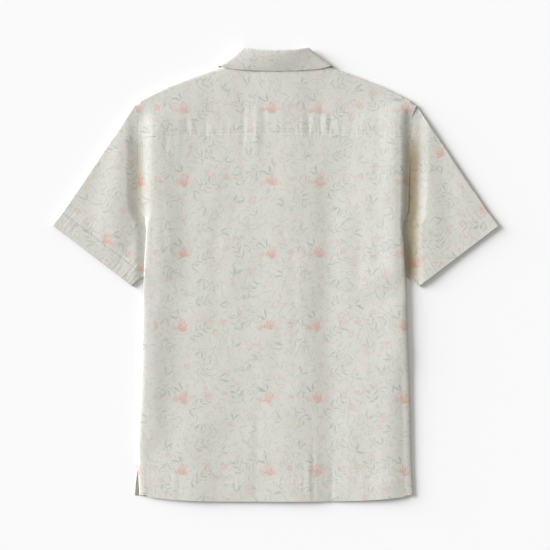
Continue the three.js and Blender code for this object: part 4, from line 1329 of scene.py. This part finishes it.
def select_only(piece):
    bpy.ops.object.select_all(action="DESELECT")
    piece.select_set(True)
    bpy.context.view_layer.objects.active = piece


def apply_modifier(piece, kind, **settings):
    modifier = piece.modifiers.new(kind.lower(), kind)
    for name, value in settings.items():
        setattr(modifier, name, value)
    select_only(piece)
    bpy.ops.object.modifier_apply(modifier=modifier.name)


bpy.ops.mesh.primitive_cylinder_add(
    vertices=48,
    radius=BUTTON_RADIUS / 1000,
    depth=BUTTON_THICKNESS / 1000,
    location=(0, 0, BUTTON_THICKNESS / 2000),
)
first_button = bpy.context.object
apply_modifier(first_button, "BEVEL", width=0.0005, segments=3, limit_method="ANGLE")
dish_middle = (0, 0, (BUTTON_DISH_DEPTH - BUTTON_DISH_RADIUS) / 1000)
bpy.ops.mesh.primitive_uv_sphere_add(
    segments=40, ring_count=20, radius=BUTTON_DISH_RADIUS / 1000, location=dish_middle
)
cutters = [bpy.context.object]
for quarter in range(4):
    turn = math.radians(45 + 90 * quarter)
    hole_x, hole_y = (BUTTON_HOLE_OUT * part(turn) / 1000 for part in (math.cos, math.sin))
    bpy.ops.mesh.primitive_cylinder_add(
        vertices=16, radius=BUTTON_HOLE_RADIUS / 1000, depth=0.006, location=(hole_x, hole_y, 0)
    )
    cutters.append(bpy.context.object)
for cutter in cutters:
    apply_modifier(first_button, "BOOLEAN", operation="DIFFERENCE", object=cutter, solver="EXACT")
    bpy.data.objects.remove(cutter)
select_only(first_button)
bpy.ops.object.shade_smooth_by_angle(angle=math.radians(35))
first_button.data.materials.clear()
first_button.data.materials.append(pearl)
button_points = np.array([corner.co for corner in first_button.data.vertices])
button_points[:, 2] -= button_points[:, 2].min()
for number in range(1, 7):
    low, high = (np.array(corner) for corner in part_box(f"button_{number}"))
    mesh = first_button.data.copy()
    middle = (low + high) / 2
    moved = button_points * (1, 1, (high[2] - low[2]) / np.ptp(button_points[:, 2]))
    mesh.vertices.foreach_set("co", (moved + (middle[0], middle[1], low[2])).ravel())
    button = bpy.data.objects.new(f"button_{number}_pearl", mesh)
    bpy.context.collection.objects.link(button)
    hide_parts(f"button_{number}")
    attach(button, "root")
bpy.data.objects.remove(first_button)

# The stitching: lines of ecru thread that hold the hems and the seams, coloured darker than the
# cloth as painted shade along the lines. One stitch is modelled and then laid along each line,
# bedded halfway in the cloth.
STITCH_LENGTH = 2.3
STITCH_STEP = 2.9
STITCH_WIDTH = 0.42
STITCH_HEIGHT = 0.3


def plain_material(name, colour, roughness):
    material = bpy.data.materials.new(name)
    material.use_nodes = True
    shader = material.node_tree.nodes["Principled BSDF"]
    shader.inputs["Base Color"].default_value = colour
    shader.inputs["Roughness"].default_value = roughness
    return material


# Painted shade: the thread is darker than the ecru cloth, standing in for the shade along the stitch
# lines.
shaded_thread = plain_material("ecru_thread_shaded", (0.5, 0.475, 0.405, 1), 0.7)
bpy.ops.mesh.primitive_uv_sphere_add(segments=6, ring_count=5, radius=0.5)
first_stitch = bpy.context.object
stitch_points = np.array([corner.co for corner in first_stitch.data.vertices])[:, [2, 1, 0]]
stitch_points = stitch_points * (STITCH_LENGTH, STITCH_WIDTH, STITCH_HEIGHT)
stitch_faces = [list(face.vertices)[::-1] for face in first_stitch.data.polygons]
bpy.data.objects.remove(first_stitch)


def stitch_line(name, line):
    """Lays stitches along a line of points, in mm."""
    steps = np.linalg.norm(np.diff(line, axis=0), axis=1)
    lengths = np.concatenate([[0], np.cumsum(steps)])
    starts = np.arange(2, lengths[-1] - 2, STITCH_STEP)
    points, faces = [], []
    for start in starts:
        first, last = (
            np.array([np.interp(at, lengths, line[:, axis]) for axis in range(3)])
            for at in (start, start + STITCH_LENGTH)
        )
        along = (last - first) / np.linalg.norm(last - first)
        side = np.cross((0, 0, 1), along)
        side /= np.linalg.norm(side)
        turned_points = stitch_points @ np.array([along, side, np.cross(along, side)])
        shift = len(points) * len(stitch_points)
        faces += [[corner + shift for corner in face] for face in stitch_faces]
        points.append(turned_points + (first + last) / 2)
    mesh = bpy.data.meshes.new(name)
    mesh.from_pydata((np.concatenate(points) / 1000).tolist(), [], faces)
    mesh.materials.append(shaded_thread)
    mesh.shade_smooth()
    stitches = bpy.data.objects.new(name, mesh)
    bpy.context.collection.objects.link(stitches)
    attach(stitches, "root")


def on_back(x, y, raised=0.05):
    return np.stack([x, y, cloth_top(x, y) + CLOTH_OUT + raised], axis=1)


hem_x = np.linspace(-226, 224, 500)
hem_line_y = back_hem_y(hem_x) + BACK_HEM_DEPTH - 1.2
stitch_line("back_hem_stitches", on_back(hem_x, hem_line_y, raised=0.2))
yoke_x = np.linspace(-196, 196, 500)
stitch_line("yoke_stitches", on_back(yoke_x, yoke_seam_y(yoke_x) + 2.2))
stitch_line("yoke_upper_stitches", on_back(yoke_x, yoke_seam_y(yoke_x) + 7.5))
for side, name in SIDE_NAME.items():
    hem_around = np.linspace(0.03, 0.88, 300)
    place = sleeve_place(side, hem_around, -0.02)
    height = sleeve_top(side, place) + CLOTH_OUT + 0.02 - 0.85 * HEM_GROOVE[side]
    stitch_line(f"sleeve_{name}_stitches", np.concatenate([place, height[:, None]], axis=1))

# The surface it lies on: a plain white table top.
floor_mesh = bpy.data.meshes.new("floor")
floor_mesh.from_pydata([(-4, -4, 0), (4, -4, 0), (4, 4, 0), (-4, 4, 0)], [], [(0, 1, 2, 3)])
floor = bpy.data.objects.new("floor", floor_mesh)
bpy.context.collection.objects.link(floor)
floor_mesh.materials.append(plain_material("white_table", (0.9, 0.9, 0.9, 1), 0.9))

# Soft daylight from the upper left, low enough to show the folds, and a bright even room.
world = bpy.data.worlds.new("room")
world.use_nodes = True
world.node_tree.nodes["Background"].inputs["Color"].default_value = (1, 0.975, 0.93, 1)
world.node_tree.nodes["Background"].inputs["Strength"].default_value = 0.46
bpy.context.scene.world = world
window = bpy.data.lights.new("window", "SUN")
window.energy = 6.36
window.color = (1, 1.02, 1.06)
window.angle = math.radians(36)
window_object = bpy.data.objects.new("window", window)
towards_window = Vector((-0.87, 0.36, 0.29))
window_object.rotation_euler = towards_window.to_track_quat("Z", "Y").to_euler()
bpy.context.collection.objects.link(window_object)

# The camera looks straight down from 4 m above through a long lens.
PICTURE_WIDTH = 0.946  # of the table that fits across the picture, in metres
camera_data = bpy.data.cameras.new("camera")
camera_data.sensor_width = 36
camera_data.lens = camera_data.sensor_width * 4 / PICTURE_WIDTH
camera = bpy.data.objects.new("camera", camera_data)
camera.location = (-0.0009, -0.0004, 4.008)
bpy.context.collection.objects.link(camera)
bpy.context.scene.camera = camera
bpy.context.scene.view_settings.view_transform = "Standard"
